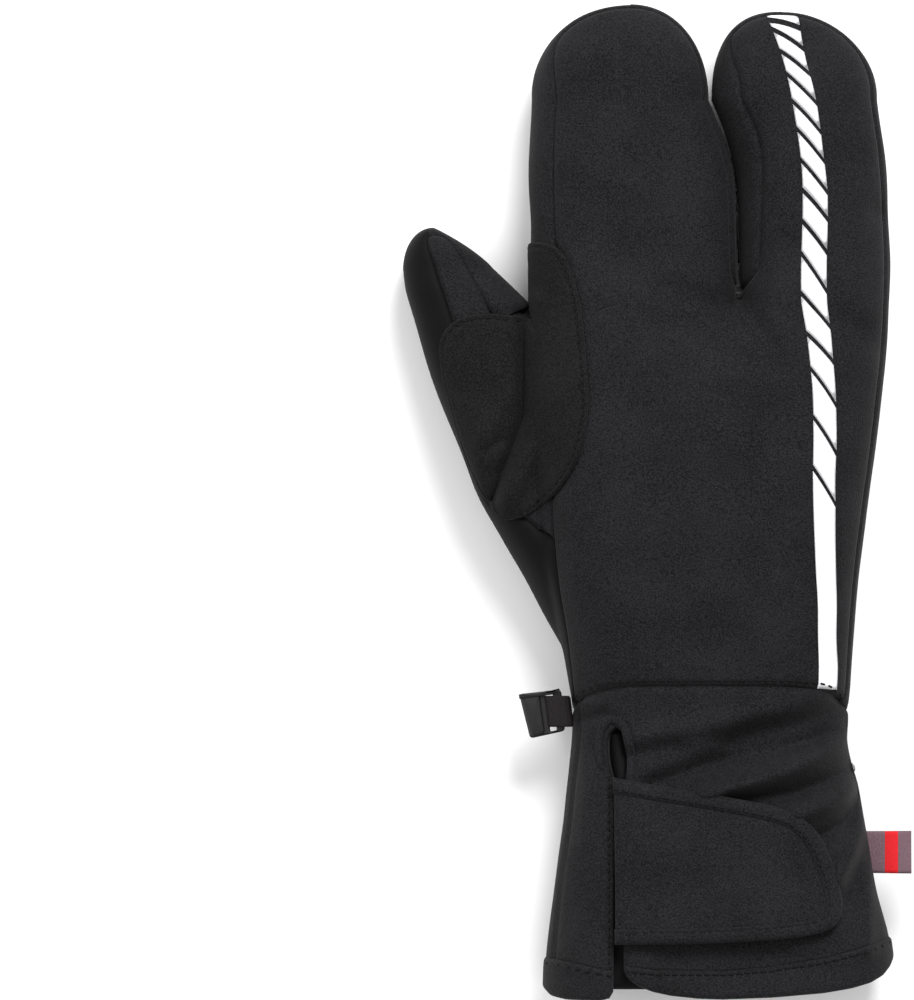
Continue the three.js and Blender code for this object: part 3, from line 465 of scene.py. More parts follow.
def weld(patches):
    """One vertex for each place that several grids share, and their faces with four or three corners."""
    points = np.concatenate([p.reshape(-1, 3) for p in patches])
    keys = np.round((points + 0.0007) / 0.004).astype(np.int64)
    _, first, inverse = np.unique(keys, axis=0, return_index=True, return_inverse=True)
    inverse = inverse.reshape(-1)
    quads, start = [], 0
    for patch in patches:
        rows, columns = patch.shape[:2]
        index = start + np.arange(rows * columns).reshape(rows, columns)
        corners = [index[:-1, :-1], index[:-1, 1:], index[1:, 1:], index[1:, :-1]]
        quads.append(np.stack(corners, -1).reshape(-1, 4))
        start += rows * columns
    return points[first], clean_faces(inverse[np.concatenate(quads)])


def clean_faces(quads):
    """Faces with four different corners, or three with the last one repeated; thinner ones are dropped."""
    kept = []
    same = [quads[:, k] == quads[:, (k + 1) % 4] for k in range(4)]
    count = sum(s.astype(int) for s in same)
    cross = (quads[:, 0] == quads[:, 2]) | (quads[:, 1] == quads[:, 3])
    kept.append(quads[(count == 0) & ~cross])
    for k in range(4):
        rows = quads[(count == 1) & same[k] & ~cross]
        order = [(k + 1) % 4, (k + 2) % 4, (k + 3) % 4]
        kept.append(np.column_stack([rows[:, order], rows[:, order[2]]]))
    return np.concatenate(kept)


def vertex_normals(points, faces):
    """Area-weighted mean of the normals of the faces round each vertex."""
    a, b, c, d = (points[faces[:, k]] for k in range(4))
    face = np.cross(c - a, d - b)
    total = np.zeros_like(points)
    for k in range(4):
        for axis in range(3):
            total[:, axis] += np.bincount(faces[:, k], face[:, axis], len(points))
    return total / np.maximum(np.linalg.norm(total, axis=1), 1e-9)[:, None]


def rim_edges(faces):
    """Directed edges that only one face has."""
    edges = np.concatenate([faces[:, [k, (k + 1) % 4]] for k in range(4)])
    edges = edges[edges[:, 0] != edges[:, 1]]
    size = faces.max() + 1
    forward = edges[:, 0] * size + edges[:, 1]
    backward = edges[:, 1] * size + edges[:, 0]
    return edges[~np.isin(forward, backward)]


def distance_to(points, starts, ends):
    """Shortest distance from each point to a set of segments, worked out in blocks of points."""
    nearest = np.full(len(points), 1e9)
    way = ends - starts
    length = np.maximum((way ** 2).sum(1), 1e-12)
    for begin in range(0, len(points), 1500):
        block = points[begin:begin + 1500, None, :] - starts[None]
        along = np.clip((block * way[None]).sum(2) / length[None], 0, 1)
        gap = block - along[..., None] * way[None]
        nearest[begin:begin + 1500] = np.sqrt((gap ** 2).sum(2).min(1))
    return nearest


def ripple(points, seed, size, amount):
    """Sum of twelve seeded plane waves with lengths round a size."""
    draw = np.random.default_rng(seed)
    total = np.zeros(len(points))
    for _ in range(12):
        way = draw.normal(size=3)
        way /= np.linalg.norm(way)
        length = size * draw.uniform(0.6, 1.8)
        total += np.sin(2 * np.pi * (points @ way) / length + draw.uniform(0, 2 * np.pi))
    return amount * total / math.sqrt(12)


def padded_relief(distance, points, seed):
    """Loft of a padded panel: drawn down sharply into its seams, rounded up beside them, slightly uneven."""
    seam = -0.9 * np.exp(-((distance / 0.9) ** 2)) - 0.55 * np.exp(-distance / 3.5)
    return seam + 0.3 + ripple(points, seed, 26, 0.22) * np.clip(distance / 8, 0, 1)


# Seams of each shell, by node, and the seed of the back's unevenness, which the stripe and stitches share
RIMS = {}
BACK_SEED = 3


def segments(lines):
    """Start and end points of the segments of several polylines."""
    return np.concatenate([line[:-1] for line in lines]), np.concatenate([line[1:] for line in lines])


def shell(name, patches, wall, relief=None, seed=1, core=None, seams=None):
    """Closed shell: the outer face is the grids moved by the relief, the inner one lies a wall inside."""
    points, faces = weld(patches)
    normals = vertex_normals(points, faces)
    if core is not None:
        middle = core(points)
        if ((points - middle) * normals).sum() < 0:
            faces = faces[:, ::-1]
            normals = -normals
    rim = rim_edges(faces)
    move = np.zeros(len(points))
    RIMS[name] = segments(seams) if seams else (points[rim[:, 0]], points[rim[:, 1]])
    if relief is not None:
        move = relief(distance_to(points, *RIMS[name]), points, seed)
    outer = points + normals * move[:, None]
    inner = points - normals * wall
    count = len(points)
    sides = np.column_stack([rim[:, 1], rim[:, 0], rim[:, 0] + count, rim[:, 1] + count])
    tag = np.r_[np.zeros(len(faces), int), np.ones(len(faces), int), np.zeros(len(sides), int)]
    return np.vstack([outer, inner]), np.vstack([faces, faces[:, ::-1] + count, sides]), tag


def pillow(patches, centre, half, rounding, core, seams=None):
    """Closed solid over the grids: its rim lies at centre, and it swells to centre plus and minus half."""
    points, faces = weld(patches)
    normals = vertex_normals(points, faces)
    if ((points - core(points)) * normals).sum() < 0:
        faces = faces[:, ::-1]
        normals = -normals
    rim = rim_edges(faces)
    starts, ends = segments(seams) if seams else (points[rim[:, 0]], points[rim[:, 1]])
    inside = distance_to(points, starts, ends)
    swell = roll_up(inside, rounding)
    middle = centre(points, inside) if callable(centre) else np.full(len(points), float(centre))
    on_rim = np.zeros(len(points), bool)
    on_rim[rim.ravel()] = True
    swell = np.where(on_rim, 0, np.maximum(swell, 0.05))
    outer = points + normals * (middle + half * swell)[:, None]
    inner = points + normals * (middle - half * swell)[:, None]
    count = len(points)
    twin = np.where(on_rim, np.arange(count), np.arange(count) + count)
    return np.vstack([outer, inner]), np.vstack([faces, twin[faces[:, ::-1]]])


def compact(verts, faces):
    """Only the vertices that a face uses."""
    used, inverse = np.unique(faces, return_inverse=True)
    return verts[used], inverse.reshape(faces.shape)


def facing(plan, level):
    """Places on the glove and their outward normals, from slopes over a tenth of a millimetre."""
    x, y = plan[..., 0], plan[..., 1]
    h = 0.05
    up = 1.0 if level is not lower else -1.0
    z = level(x, y)
    slope_x = (level(x + h, y) - level(x - h, y)) / (2 * h)
    slope_y = (level(x, y + h) - level(x, y - h)) / (2 * h)
    normal = np.stack([-slope_x, -slope_y, np.ones_like(z)], -1) * up
    normal /= np.linalg.norm(normal, axis=-1, keepdims=True)
    return np.stack([x, y, z], -1), normal


def hand_core(points):
    """Middle line of the hand or of the lobe that a point belongs to."""
    on_index = points[:, 0] < slot_middle(points[:, 1])
    x = np.where(points[:, 1] > CROTCH[1], np.where(on_index, -8.0, 50.0), 17.0)
    return np.column_stack([x, np.minimum(points[:, 1], 140), np.full(len(points), 22.0)])


def thumb_core(points):
    """Middle line of the thumb."""
    y = np.clip(points[:, 1], -50, 76)
    x = (track(THUMB, 1, y) + track(THUMB, 2, y)) / 2
    return np.column_stack([x, y, np.full(len(points), 16.0)])


def above(points):
    """A line far below every point, for pieces that face up."""
    return points - np.array([0, 0, 100.0])


def below(points):
    """A line far above every point, for pieces that face down."""
    return points + np.array([0, 0, 100.0])


def write_mesh(name, verts, faces, materials, tags=None, smooth=True):
    """Mesh object in metres; a face that repeats its last corner becomes a triangle."""
    verts, faces = compact(verts, faces)
    turned = (faces[:, 0] == faces[:, 1]) & (faces[:, 2] != faces[:, 3])
    faces = np.where(turned[:, None], np.roll(faces, -1, axis=1), faces)
    faces = np.where((faces[:, 3] == faces[:, 0])[:, None], faces[:, [0, 1, 2, 2]], faces)
    counts = np.where(faces[:, 2] == faces[:, 3], 3, 4)
    keep = np.arange(4)[None, :] < counts[:, None]
    mesh = bpy.data.meshes.new(name)
    mesh.vertices.add(len(verts))
    mesh.vertices.foreach_set("co", (verts * MM).astype(np.float32).ravel())
    loops = faces[keep]
    mesh.loops.add(len(loops))
    mesh.loops.foreach_set("vertex_index", loops.astype(np.int32))
    mesh.polygons.add(len(faces))
    starts = np.r_[0, np.cumsum(counts)[:-1]]
    mesh.polygons.foreach_set("loop_start", starts.astype(np.int32))
    if tags is not None:
        mesh.polygons.foreach_set("material_index", np.asarray(tags, np.int32))
    mesh.polygons.foreach_set("use_smooth", np.full(len(faces), smooth))
    mesh.update(calc_edges=True)
    mesh.validate()
    for material in materials:
        mesh.materials.append(material)
    piece = bpy.data.objects.new(name, mesh)
    bpy.context.scene.collection.objects.link(piece)
    return piece


def settle(piece, node=None, slot=None):
    """Ride on the one body and stand for a CAD node; the slot argument is not used."""
    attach(piece, "root")
    if node:
        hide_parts(node)


# Materials

def node_tree(name):
    """New material with its shader and the Object coordinates that every pattern reads."""
    material = bpy.data.materials.new(name)
    material.use_nodes = True
    tree = material.node_tree
    shader = tree.nodes["Principled BSDF"]
    place = tree.nodes.new("ShaderNodeTexCoord").outputs["Object"]
    return material, tree, shader, place


def noise(tree, place, scale, detail=3.0, stretch=None, roughness=0.55):
    """Noise texture at a scale in features per metre, stretched by a mapping where asked."""
    if stretch:
        mapping = tree.nodes.new("ShaderNodeMapping")
        mapping.inputs["Scale"].default_value = stretch
        tree.links.new(place, mapping.inputs["Vector"])
        place = mapping.outputs["Vector"]
    texture = tree.nodes.new("ShaderNodeTexNoise")
    texture.inputs["Scale"].default_value = scale
    texture.inputs["Detail"].default_value = detail
    texture.inputs["Roughness"].default_value = roughness
    tree.links.new(place, texture.inputs["Vector"])
    return texture.outputs["Fac"]


def ramp(tree, value, stops):
    """Colour ramp from stops of position and colour."""
    node = tree.nodes.new("ShaderNodeValToRGB")
    elements = node.color_ramp.elements
    while len(elements) < len(stops):
        elements.new(0.5)
    for element, (position, colour) in zip(elements, stops):
        element.position = position
        element.color = (*colour, 1)
    tree.links.new(value, node.inputs["Fac"])
    return node.outputs["Color"]


def combine(tree, operation, a, b):
    """Math node on two sockets or numbers."""
    node = tree.nodes.new("ShaderNodeMath")
    node.operation = operation
    for socket, value in zip(node.inputs, (a, b)):
        if isinstance(value, (int, float)):
            socket.default_value = value
        else:
            tree.links.new(value, socket)
    return node.outputs[0]


def bump(tree, shader, height, strength, distance):
    """Bump from a height, in metres."""
    node = tree.nodes.new("ShaderNodeBump")
    node.inputs["Strength"].default_value = strength
    node.inputs["Distance"].default_value = distance
    tree.links.new(height, node.inputs["Height"])
    tree.links.new(node.outputs["Normal"], shader.inputs["Normal"])


def cloth(name, dark, light, grain, sheen, roughness, relief):
    """Dense knitted face: speckled grain between two greys, soft sheen, and worn patches of tone."""
    material, tree, shader, place = node_tree(name)
    fine = noise(tree, place, grain, 2.0, roughness=0.7)
    broad = noise(tree, place, 45.0, 4.0)
    fine_part, broad_part = combine(tree, "MULTIPLY", fine, 0.82), combine(tree, "MULTIPLY", broad, 0.18)
    mixed = combine(tree, "ADD", fine_part, broad_part)
    colour = ramp(tree, mixed, [(0.4, dark), (0.6, light)])
    tree.links.new(colour, shader.inputs["Base Color"])
    rough = combine(tree, "ADD", combine(tree, "MULTIPLY", fine, 0.14), roughness - 0.07)
    tree.links.new(rough, shader.inputs["Roughness"])
    shader.inputs["Specular IOR Level"].default_value = 0.1
    shader.inputs["Sheen Weight"].default_value = sheen
    shader.inputs["Sheen Roughness"].default_value = 0.45
    weave = noise(tree, place, grain * 0.8, 1.0, (1.0, 0.45, 1.0))
    bump(tree, shader, combine(tree, "ADD", weave, fine), relief, 0.0002)
    return material


def plain_finish(name, dark, light, scale, roughness, spread, relief, coat, level):
    """Moulded or printed finish: two close tones, uneven gloss and a faint grain."""
    material, tree, shader, place = node_tree(name)
    fine = noise(tree, place, scale, 3.0)
    tree.links.new(ramp(tree, fine, [(0.35, dark), (0.65, light)]), shader.inputs["Base Color"])
    rough = combine(tree, "ADD", combine(tree, "MULTIPLY", fine, spread), roughness - spread / 2)
    tree.links.new(rough, shader.inputs["Roughness"])
    shader.inputs["Coat Weight"].default_value = coat
    shader.inputs["Specular IOR Level"].default_value = level
    bump(tree, shader, fine, relief, 0.0002)
    return material


# Cloths: colour, spread of its two tones, grain, sheen, roughness and relief
CLOTHS = {
    "softshell": ((0.0085, 0.0085, 0.0095), 0.76, 2100, 0.025, 0.85, 0.55),
    "smooth_panel": ((0.0017, 0.0017, 0.0018), 0.53, 3200, 0.0, 0.7, 0.15),
    "grip_patch": ((0.0068, 0.0066, 0.0068), 0.72, 1900, 0.02, 0.88, 0.6),
    "fleece": ((0.024, 0.024, 0.025), 0.5, 700, 0.25, 0.95, 0.9),
}
# Plain finishes: colour, spread, scale of the grain, roughness, its spread, relief, coat and specular level
PLAINS = {
    "thread": ((0.0026, 0.0026, 0.0027), 0.54, 5000, 0.6, 0.2, 0.3, 0.0, 0.12),
    "silicone": ((0.0045, 0.0045, 0.0045), 0.33, 900, 0.2, 0.12, 0.1, 0.3, 0.35),
    "reflective": ((0.80, 0.80, 0.82), 0.075, 3200, 0.5, 0.2, 0.15, 0.0, 0.3),
    "webbing": ((0.0098, 0.0078, 0.0088), 0.6, 2400, 0.75, 0.15, 0.5, 0.0, 0.15),
    "clip_plastic": ((0.0065, 0.0061, 0.0065), 0.31, 1500, 0.4, 0.12, 0.12, 0.0, 0.3),
    "tag": ((0.135, 0.083, 0.099), 0.26, 3000, 0.8, 0.1, 0.5, 0.0, 0.15),
    "tag_band": ((0.54, 0.012, 0.017), 0.15, 3000, 0.7, 0.1, 0.5, 0.0, 0.15),
}


def finish(name):
    """A finish by name in the colour that the settings give it; made when it is first asked for."""
    full_name = f"{name}_finish"
    made = bpy.data.materials.get(full_name)
    if made:
        return made
    colour = tuple(getattr(bpy.context.scene.glove_colours, name))
    maker, row = (cloth, CLOTHS[name]) if name in CLOTHS else (plain_finish, PLAINS[name])
    dark, light = (tuple(c * (1 + sign * row[1]) for c in colour) for sign in (-1, 1))
    return maker(full_name, dark, light, *row[2:])


# Seams of the panels, as plan points

def dome_arc(rows, dome, outer, slot, tip, angles):
    """Outline of a tip dome at angles from the outer side (0) to the slot side (180), inset by margins."""
    start, length, apex, outer_power, slot_power = dome
    angle = np.radians(angles)
    on_outer = angle <= np.pi / 2
    power = np.where(on_outer, outer_power, slot_power)
    side = np.where(on_outer, outer, slot)
    margin = side + (tip - side) * smoothstep(np.sin(angle) / 0.8)
    reach = np.where(on_outer, rows[-1, 1] - apex, rows[-1, 2] - apex)
    half = np.sign(reach) * (np.abs(reach) - margin)
    x = apex + half * np.abs(np.cos(angle)) ** (2 / power)
    y = start + (length - tip) * np.abs(np.sin(angle)) ** (2 / power)
    return np.column_stack([x, y])


def lobe_side(rows, column, margin, ys):
    """Straight stretch of a seam beside one edge of a lobe."""
    return np.column_stack([track(rows, column, ys) + margin, ys])


LOBE_STEPS = 56
DOME_STEPS = 26
BODY_STEPS = 104
OUTER_ANGLES = np.linspace(0, 90, DOME_STEPS + 1)[1:]
SLOT_ANGLES = np.linspace(180, 90, DOME_STEPS + 1)[1:]


def from_crotch(start_y):
    """Stations from a crotch height to the dome, and how far each is past the crotch, from 0 to 1."""
    ys = np.linspace(start_y, INDEX_DOME[0], LOBE_STEPS)
    return ys, smoothstep((ys - start_y) / 10)


def slot_seam(rows, dome, start_y, margin, tip, sign):
    """Seam beside the slot, from the crotch up the side of a lobe and round to its tip."""
    ys, past = from_crotch(start_y)
    width = margin(ys) if callable(margin) else np.full(len(ys), float(margin))
    edge = track(rows, 2, np.maximum(ys, CROTCH[1])) + sign * width
    side = np.column_stack([CROTCH[0] + (edge - CROTCH[0]) * past, ys])
    return np.vstack([side, dome_arc(rows, dome, 0, width[-1], tip, SLOT_ANGLES)])


def outer_seam(rows, dome, start_y, margin, tip, sign):
    """Seam beside the outer edge of a lobe, from a height up and round to its tip."""
    ys = np.linspace(start_y, INDEX_DOME[0], LOBE_STEPS)
    side = lobe_side(rows, 1, sign * margin, ys)
    hand_edge = track(BODY, 1 if sign > 0 else 2, ys) + sign * margin
    side[:, 0] = np.where(ys < CROTCH[1], hand_edge, side[:, 0])
    return np.vstack([side, dome_arc(rows, dome, margin, 0, tip, OUTER_ANGLES)])


def ring_slot_margin(y):
    """Distance of the back panel's seam from the slot on the ring lobe."""
    return track(RING_SLOT_MARGIN, 1, y)


def body_rows(top_y, bottom_y):
    """Y of the rows of the hand, spaced evenly."""
    return np.linspace(bottom_y, top_y, BODY_STEPS)


def to_wrist(plan, level, nominal):
    """Bend the lowest rows of a grid so that they end on the plane of the wrist seam."""
    share = np.linspace(1, 0, len(plan))[:, None] ** 3
    target = wrist_y(plan[0, :, 0], level)
    plan[..., 1] += share * (target - nominal)[None, :]
    return plan


def back_left(ys):
    """Seam between the back panel and the thumb side."""
    return np.column_stack([track(BODY, 1, ys) + track(THUMB_SIDE_MARGIN, 1, ys), ys])


def middle_line(ys):
    """Plan points of the middle column."""
    return np.column_stack([mid_x(ys), ys])


def mid_x(ys):
    """Middle column of the panels: runs from 18 at the wrist to the crotch."""
    return 18 + (CROTCH[0] - 18) * smoothstep((ys + 60) / 122)


def little_seam(bottom, top, margin, tip):
    """Seam along the edge of the hand, and on beside the ring lobe's outer edge to its tip."""
    ys = body_rows(top, bottom)
    body = np.column_stack([track(BODY, 2, ys) - margin, ys])
    return np.vstack([body, outer_seam(RING, RING_DOME, top, margin, tip, -1)[1:]])


def panel_halves(left, foot, crotch, slot_margins, little_margin, tips, columns, level):
    """Index half and ring half of a panel, each from the wrist seam to its fingertip."""
    middle = middle_line(body_rows(crotch, foot))
    index_slot = slot_seam(INDEX, INDEX_DOME, crotch, slot_margins[0], tips[0], -1)
    ring_slot = slot_seam(RING, RING_DOME, crotch, slot_margins[1], tips[1], 1)
    right = little_seam(foot, crotch, little_margin, tips[1])
    plans = (
        between(left, np.vstack([middle, index_slot[1:]]), columns[0]),
        between(np.vstack([middle, ring_slot[1:]]), right, columns[1]),
    )
    for plan in plans:
        plan[:BODY_STEPS] = to_wrist(plan[:BODY_STEPS], level, foot)
    return [raised(plan, level) for plan in plans]


def back_panel_patches():
    """The two halves of the back."""
    index_seam = outer_seam(INDEX, INDEX_DOME, BACK_CROTCH, BACK_INDEX_MARGIN, BACK_TIP, 1)
    left = np.vstack([back_left(body_rows(BACK_CROTCH, BACK_FOOT)), index_seam[1:]])
    return panel_halves(
        left, BACK_FOOT, BACK_CROTCH, (INDEX_SLOT_MARGIN, ring_slot_margin), BACK_LITTLE_MARGIN,
        (BACK_TIP, BACK_TIP), (54, 44), upper,
    )


def palm_panel_patches():
    """The two halves of the palm, whose left edge is the seam where the thumb is set in."""
    ys = body_rows(PALM_CROTCH, PALM_FOOT)
    left_body = np.column_stack([track(PALM_LEFT, 1, ys), ys])
    index_seam = outer_seam(INDEX, INDEX_DOME, PALM_CROTCH, PALM_INDEX_MARGIN, PALM_TIPS[0], 1)
    reach = smoothstep((index_seam[:, 1] - PALM_CROTCH) / 6)[:, None]
    index_seam[:, :1] = left_body[-1, 0] + (index_seam[:, :1] - left_body[-1, 0]) * reach
    left = np.vstack([left_body, index_seam[1:]])
    return panel_halves(
        left, PALM_FOOT, PALM_CROTCH, (PALM_SLOT_MARGIN, PALM_SLOT_MARGIN), PALM_LITTLE_MARGIN, PALM_TIPS,
        (48, 40), lower,
    )


def index_side_patches():
    """Strip round the index lobe's outer side to its tip, tucked in at the crotch of the thumb."""
    dorsal = outer_seam(INDEX, INDEX_DOME, INDEX_SIDE_START, BACK_INDEX_MARGIN, BACK_TIP, 1)
    edge = outer_seam(INDEX, INDEX_DOME, INDEX_SIDE_START, 0, 0, 1)
    palmar = outer_seam(INDEX, INDEX_DOME, PALM_CROTCH, PALM_INDEX_MARGIN, PALM_TIPS[0], 1)
    reach = smoothstep((palmar[:, 1] - PALM_CROTCH) / 6)
    palmar[:, 0] = -40.0 + (palmar[:, 0] + 40.0) * reach
    strip = over_edge(dorsal, edge, palmar, 16, 16)
    under = smoothstep((15 - strip[..., 2]) / 8)
    strip[..., 2] += 4.0 * under * smoothstep((66 - strip[..., 1]) / 7)
    return [strip]


def fourchette_patches():
    """Strip that lines the slot, down the index lobe to the crotch and up the ring lobe."""
    lines = []
    for start_y, tips, ring_margin, index_margin in (
        (BACK_CROTCH, (BACK_TIP, BACK_TIP), ring_slot_margin, INDEX_SLOT_MARGIN),
        (CROTCH[1], (0, 0), 0, 0),
        (PALM_CROTCH, PALM_TIPS, PALM_SLOT_MARGIN, PALM_SLOT_MARGIN),
    ):
        index = slot_seam(INDEX, INDEX_DOME, start_y, index_margin, tips[0], -1)
        ring = slot_seam(RING, RING_DOME, start_y, ring_margin, tips[1], 1)
        lines.append(np.vstack([index[::-1], ring[1:]]))
    return [over_edge(*lines, 16, 16)]


def little_side_patches():
    """Strip along the edge of the hand and the outer side of the ring lobe."""
    lines = [little_seam(*row) for row in (
        (BACK_FOOT, BACK_CROTCH, BACK_LITTLE_MARGIN, BACK_TIP),
        (EDGE_FOOT, BACK_CROTCH, 0, 0),
        (PALM_FOOT, PALM_CROTCH, PALM_LITTLE_MARGIN, PALM_TIPS[1]),
    )]
    strip = over_edge(*lines, 9, 14)
    end = WRIST_Y + WRIST_SLOPE * strip[0, :, 2]
    share = np.linspace(1, 0, BODY_STEPS)[:, None] ** 6
    strip[:BODY_STEPS, :, 1] += share * (end - strip[0, :, 1])[None, :]
    return [strip]


# Stations round the thumb: dorsal seam, place on the outline, palm seam.
# The place is y up to 75, then 75 plus the angle round the tip, then on down the slot side.
THUMB_STATIONS = np.array([
    [-27.1, -60.9, -67, -20.0, -72.6], [-28.5, -48, -48, -17.0, -52], [-30.6, -34, -36, -5.6, -35.5],
    [-33.0, -20, -22, -12.1, -25.8], [-34.0, -13.0, -12, -24.4, -13.5], [-39.5, -8.2, -4, -33.0, -4],
    [-48, -2, 5, -40.8, 5.1], [-52.6, 7, 15, -47.5, 15.5], [-56, 16, 24, -53, 24.5],
    [-59.2, 28, 33, -58.2, 31.8],
    [-62, 40, 41, -63.2, 39.2], [-64.6, 52, 52, -68.6, 49], [-67.6, 62.4, 61, -72.4, 58],
    [-71, 72.3, 70, -75, 69],
    [-74.4, 82.0, 110, -76, 78.5], [-74.0, 86.0, 150, -75, 83], [-70.4, 86.0, 187, -71.5, 84.0],
    [-67.4, 84.3, 212, -67, 82.6], [-64.0, 80.6, 240, -60.8, 79.0], [-60.6, 74.5, 259, -55, 73.2],
    [-57.4, 68.0, 263, -49.5, 67.4], [-54.8, 61.6, 265.5, -43, 62.5], [-53.2, 57.5, 267, -41.5, 61],
])
THUMB_TIP_ROW = 15
THUMB_CUT = 4


def thumb_outline(place):
    """Plan point on the outline of hand and thumb at a place."""
    side_y = np.minimum(place, THUMB_DOME[0])
    hand_left = np.where(side_y < -44, track(BODY, 1, side_y), 999)
    side = np.column_stack([np.minimum(track(THUMB, 1, side_y), hand_left), side_y])
    angle = np.clip(place - THUMB_DOME[0], 0, 180)
    arc = dome_arc(THUMB, THUMB_DOME, 0, 0, 0, angle)
    slot_y = THUMB_DOME[0] - np.maximum(place - THUMB_DOME[0] - 180, 0)
    slot = np.column_stack([track(THUMB, 2, slot_y), slot_y])
    choice = np.where(place <= THUMB_DOME[0], 0, np.where(place <= THUMB_DOME[0] + 180, 1, 2))[:, None]
    return np.where(choice == 0, side, np.where(choice == 1, arc, slot))


def thumb_lines(steps=10):
    """Dorsal seam, outline and palm seam of the thumb's outer panel, with matching points."""
    rows = np.column_stack([np.arange(len(THUMB_STATIONS)), THUMB_STATIONS])
    at = np.linspace(0, len(THUMB_STATIONS) - 1, (len(THUMB_STATIONS) - 1) * steps + 1)
    dorsal = np.column_stack([track(rows, 1, at), track(rows, 2, at)])
    edge = thumb_outline(track(rows, 3, at))
    palmar = np.column_stack([track(rows, 4, at), track(rows, 5, at)])
    return dorsal, edge, palmar


def thumb_outer_patches():
    """Smooth panel: from the wrist up the outer side of the thumb, round its tip and back to the crotch."""
    dorsal, edge, palmar = thumb_lines()
    strip = over_edge(dorsal, edge, palmar, 14, 18)
    end = WRIST_Y + WRIST_SLOPE * strip[0, :, 2]
    share = np.clip(1 - np.arange(len(strip)) / 14, 0, 1)[:, None] ** 2
    strip[..., 1] += share * (end - strip[0, :, 1])[None, :]
    return [strip]


def thumb_back_patches():
    """Back of the thumb, between its outer panel and the back of the hand."""
    dorsal = thumb_lines()[0]
    tip, start = THUMB_TIP_ROW * 10, THUMB_CUT * 10
    ys = np.linspace(-12.5, 62, 50)
    web = np.array([[-42.0, 61.0], [-49.0, 59.4], [-52.8, 58.9], [-54.2, 60.4]])
    right = np.vstack([dorsal[start:start + 1], back_left(ys), web, dorsal[tip:-12][::-1]])
    left = even(dorsal[start:tip + 1], 110)
    return [raised(between(left, even(right, 110), 34), upper)]


def thumb_palm_patches():
    """Palm side of the thumb, between its outer panel and the seam that sets it into the palm."""
    palmar = thumb_lines()[2]
    tip, start = THUMB_TIP_ROW * 10, 2 * 10
    ys = np.linspace(-35.5, 60, 70)
    right = np.vstack([np.column_stack([track(PALM_LEFT, 1, ys), ys]), palmar[tip:][::-1]])
    left = even(palmar[start:tip + 1], 110)
    return [raised(between(left, even(right, 110), 38), lower)]


def back_relief(distance, points, seed):
    """Loft of the back, drawn in along the edge of the patch that is sewn onto it."""
    drawn_in = fold_rise(points[:, 0], points[:, 1], ((1.0, -0.4, SADDLE_RIGHT),))
    return padded_relief(distance, points, seed) + drawn_in


def thumb_relief(distance, points, seed):
    """Loft of the thumb's outer panel, whose far end dips below the web and deeper below the palm."""
    x, y, z = points.T
    under = smoothstep((16 - z) / 7)
    dip = 1.1 * (1 - under) * smoothstep((63.5 - y) / 4) + 2.6 * under * smoothstep((66 - y) / 3)
    return padded_relief(distance, points, seed) - dip * (y > 48) * (x > -60)


def strip_seams(strip, wrist=False):
    """Long edges of a strip, and its wrist end where it has one; its ends at the tips draw no seam."""
    lines = [strip[:, 0], strip[:, -1]]
    return lines + [strip[0]] if wrist else lines


def build_panels(table, wall):
    """Shells of padded panels; each row gives a name, node, grids, core, relief, slot, seed and seams."""
    for name, node, patches, core, relief, slot, seed, seams in table:
        verts, faces, tags = shell(node, patches, wall, relief, seed, core, seams)
        if slot == "smooth_panel":
            middle = verts[faces].mean(1)
            inner_side = (middle[:, 0] > -61 - 0.49 * (middle[:, 1] - 60)) & (middle[:, 1] > 50) & (tags == 0)
            tags = np.where(inner_side, 2, tags)
        piece = write_mesh(name, verts, faces, [finish(slot), finish("fleece"), finish("softshell")], tags)
        settle(piece, node, slot)


def build_hand(wall):
    """Back and palm panels, and the strips between them."""
    index_side, fourchette, little_side = index_side_patches(), fourchette_patches(), little_side_patches()
    build_panels((
        ("back_panel_cloth", "back_panel", back_panel_patches(), hand_core, back_relief, "softshell",
         BACK_SEED, None),
        ("palm_panel_cloth", "palm_panel", palm_panel_patches(), hand_core, padded_relief, "softshell", 4,
         None),
        ("index_side_cloth", "index_side_gusset", index_side, hand_core, padded_relief, "softshell", 5,
         strip_seams(index_side[0])),
        ("fourchette_cloth", "finger_fourchette", fourchette, hand_core, padded_relief, "softshell", 6,
         strip_seams(fourchette[0])),
        ("little_side_cloth", "little_side_gusset", little_side, hand_core, padded_relief, "softshell", 7,
         strip_seams(little_side[0], True)),
    ), wall)


def build_thumb(wall):
    """Back, palm side and smooth outer panel of the thumb."""
    outer = thumb_outer_patches()
    build_panels((
        ("thumb_back_cloth", "thumb_back", thumb_back_patches(), above, padded_relief, "softshell", 8, None),
        ("thumb_palm_cloth", "thumb_palm", thumb_palm_patches(), below, padded_relief, "softshell", 9, None),
        ("thumb_outer_cloth", "thumb_outer", outer, thumb_core, thumb_relief, "smooth_panel", 10,
         strip_seams(outer[0], True)),
    ), wall)


# Cuff

CUFF_ROWS = 110
HEM_ROWS = 18
# Top and end of the hem on the upper side: x, y; and where both lie in the middle of the underside
HEM_TOP = np.array([
    [-40, -146.4], [-30, -147.4], [-15.5, -150.2], [-11.6, -148.6], [0, -150.0], [20, -150.2], [36, -149.0],
    [52, -146.2], [64, -143.2], [77, -139.2],
])
HEM_END = np.array([
    [-40, -152.0], [-37.5, -156.0], [-34.5, -159.2], [-30, -160.0], [-19, -160.0], [-16, -159.2],
    [-14.8, -157.0],
    [-11.6, -149.8], [-10.8, -151.7], [-9.0, -153.8], [-6.6, -155.4], [-2.0, -157.2], [3.7, -158.4],
    [12, -159.3],
    [20, -159.6], [36, -159.0], [52.5, -157.6], [62, -156.1], [68, -154.6], [71.8, -152.6], [74.0, -150.2],
    [75.2, -147.6], [77, -144.5],
])
HEM_TOP_BELOW = -146.5
HEM_END_BELOW = -158.5
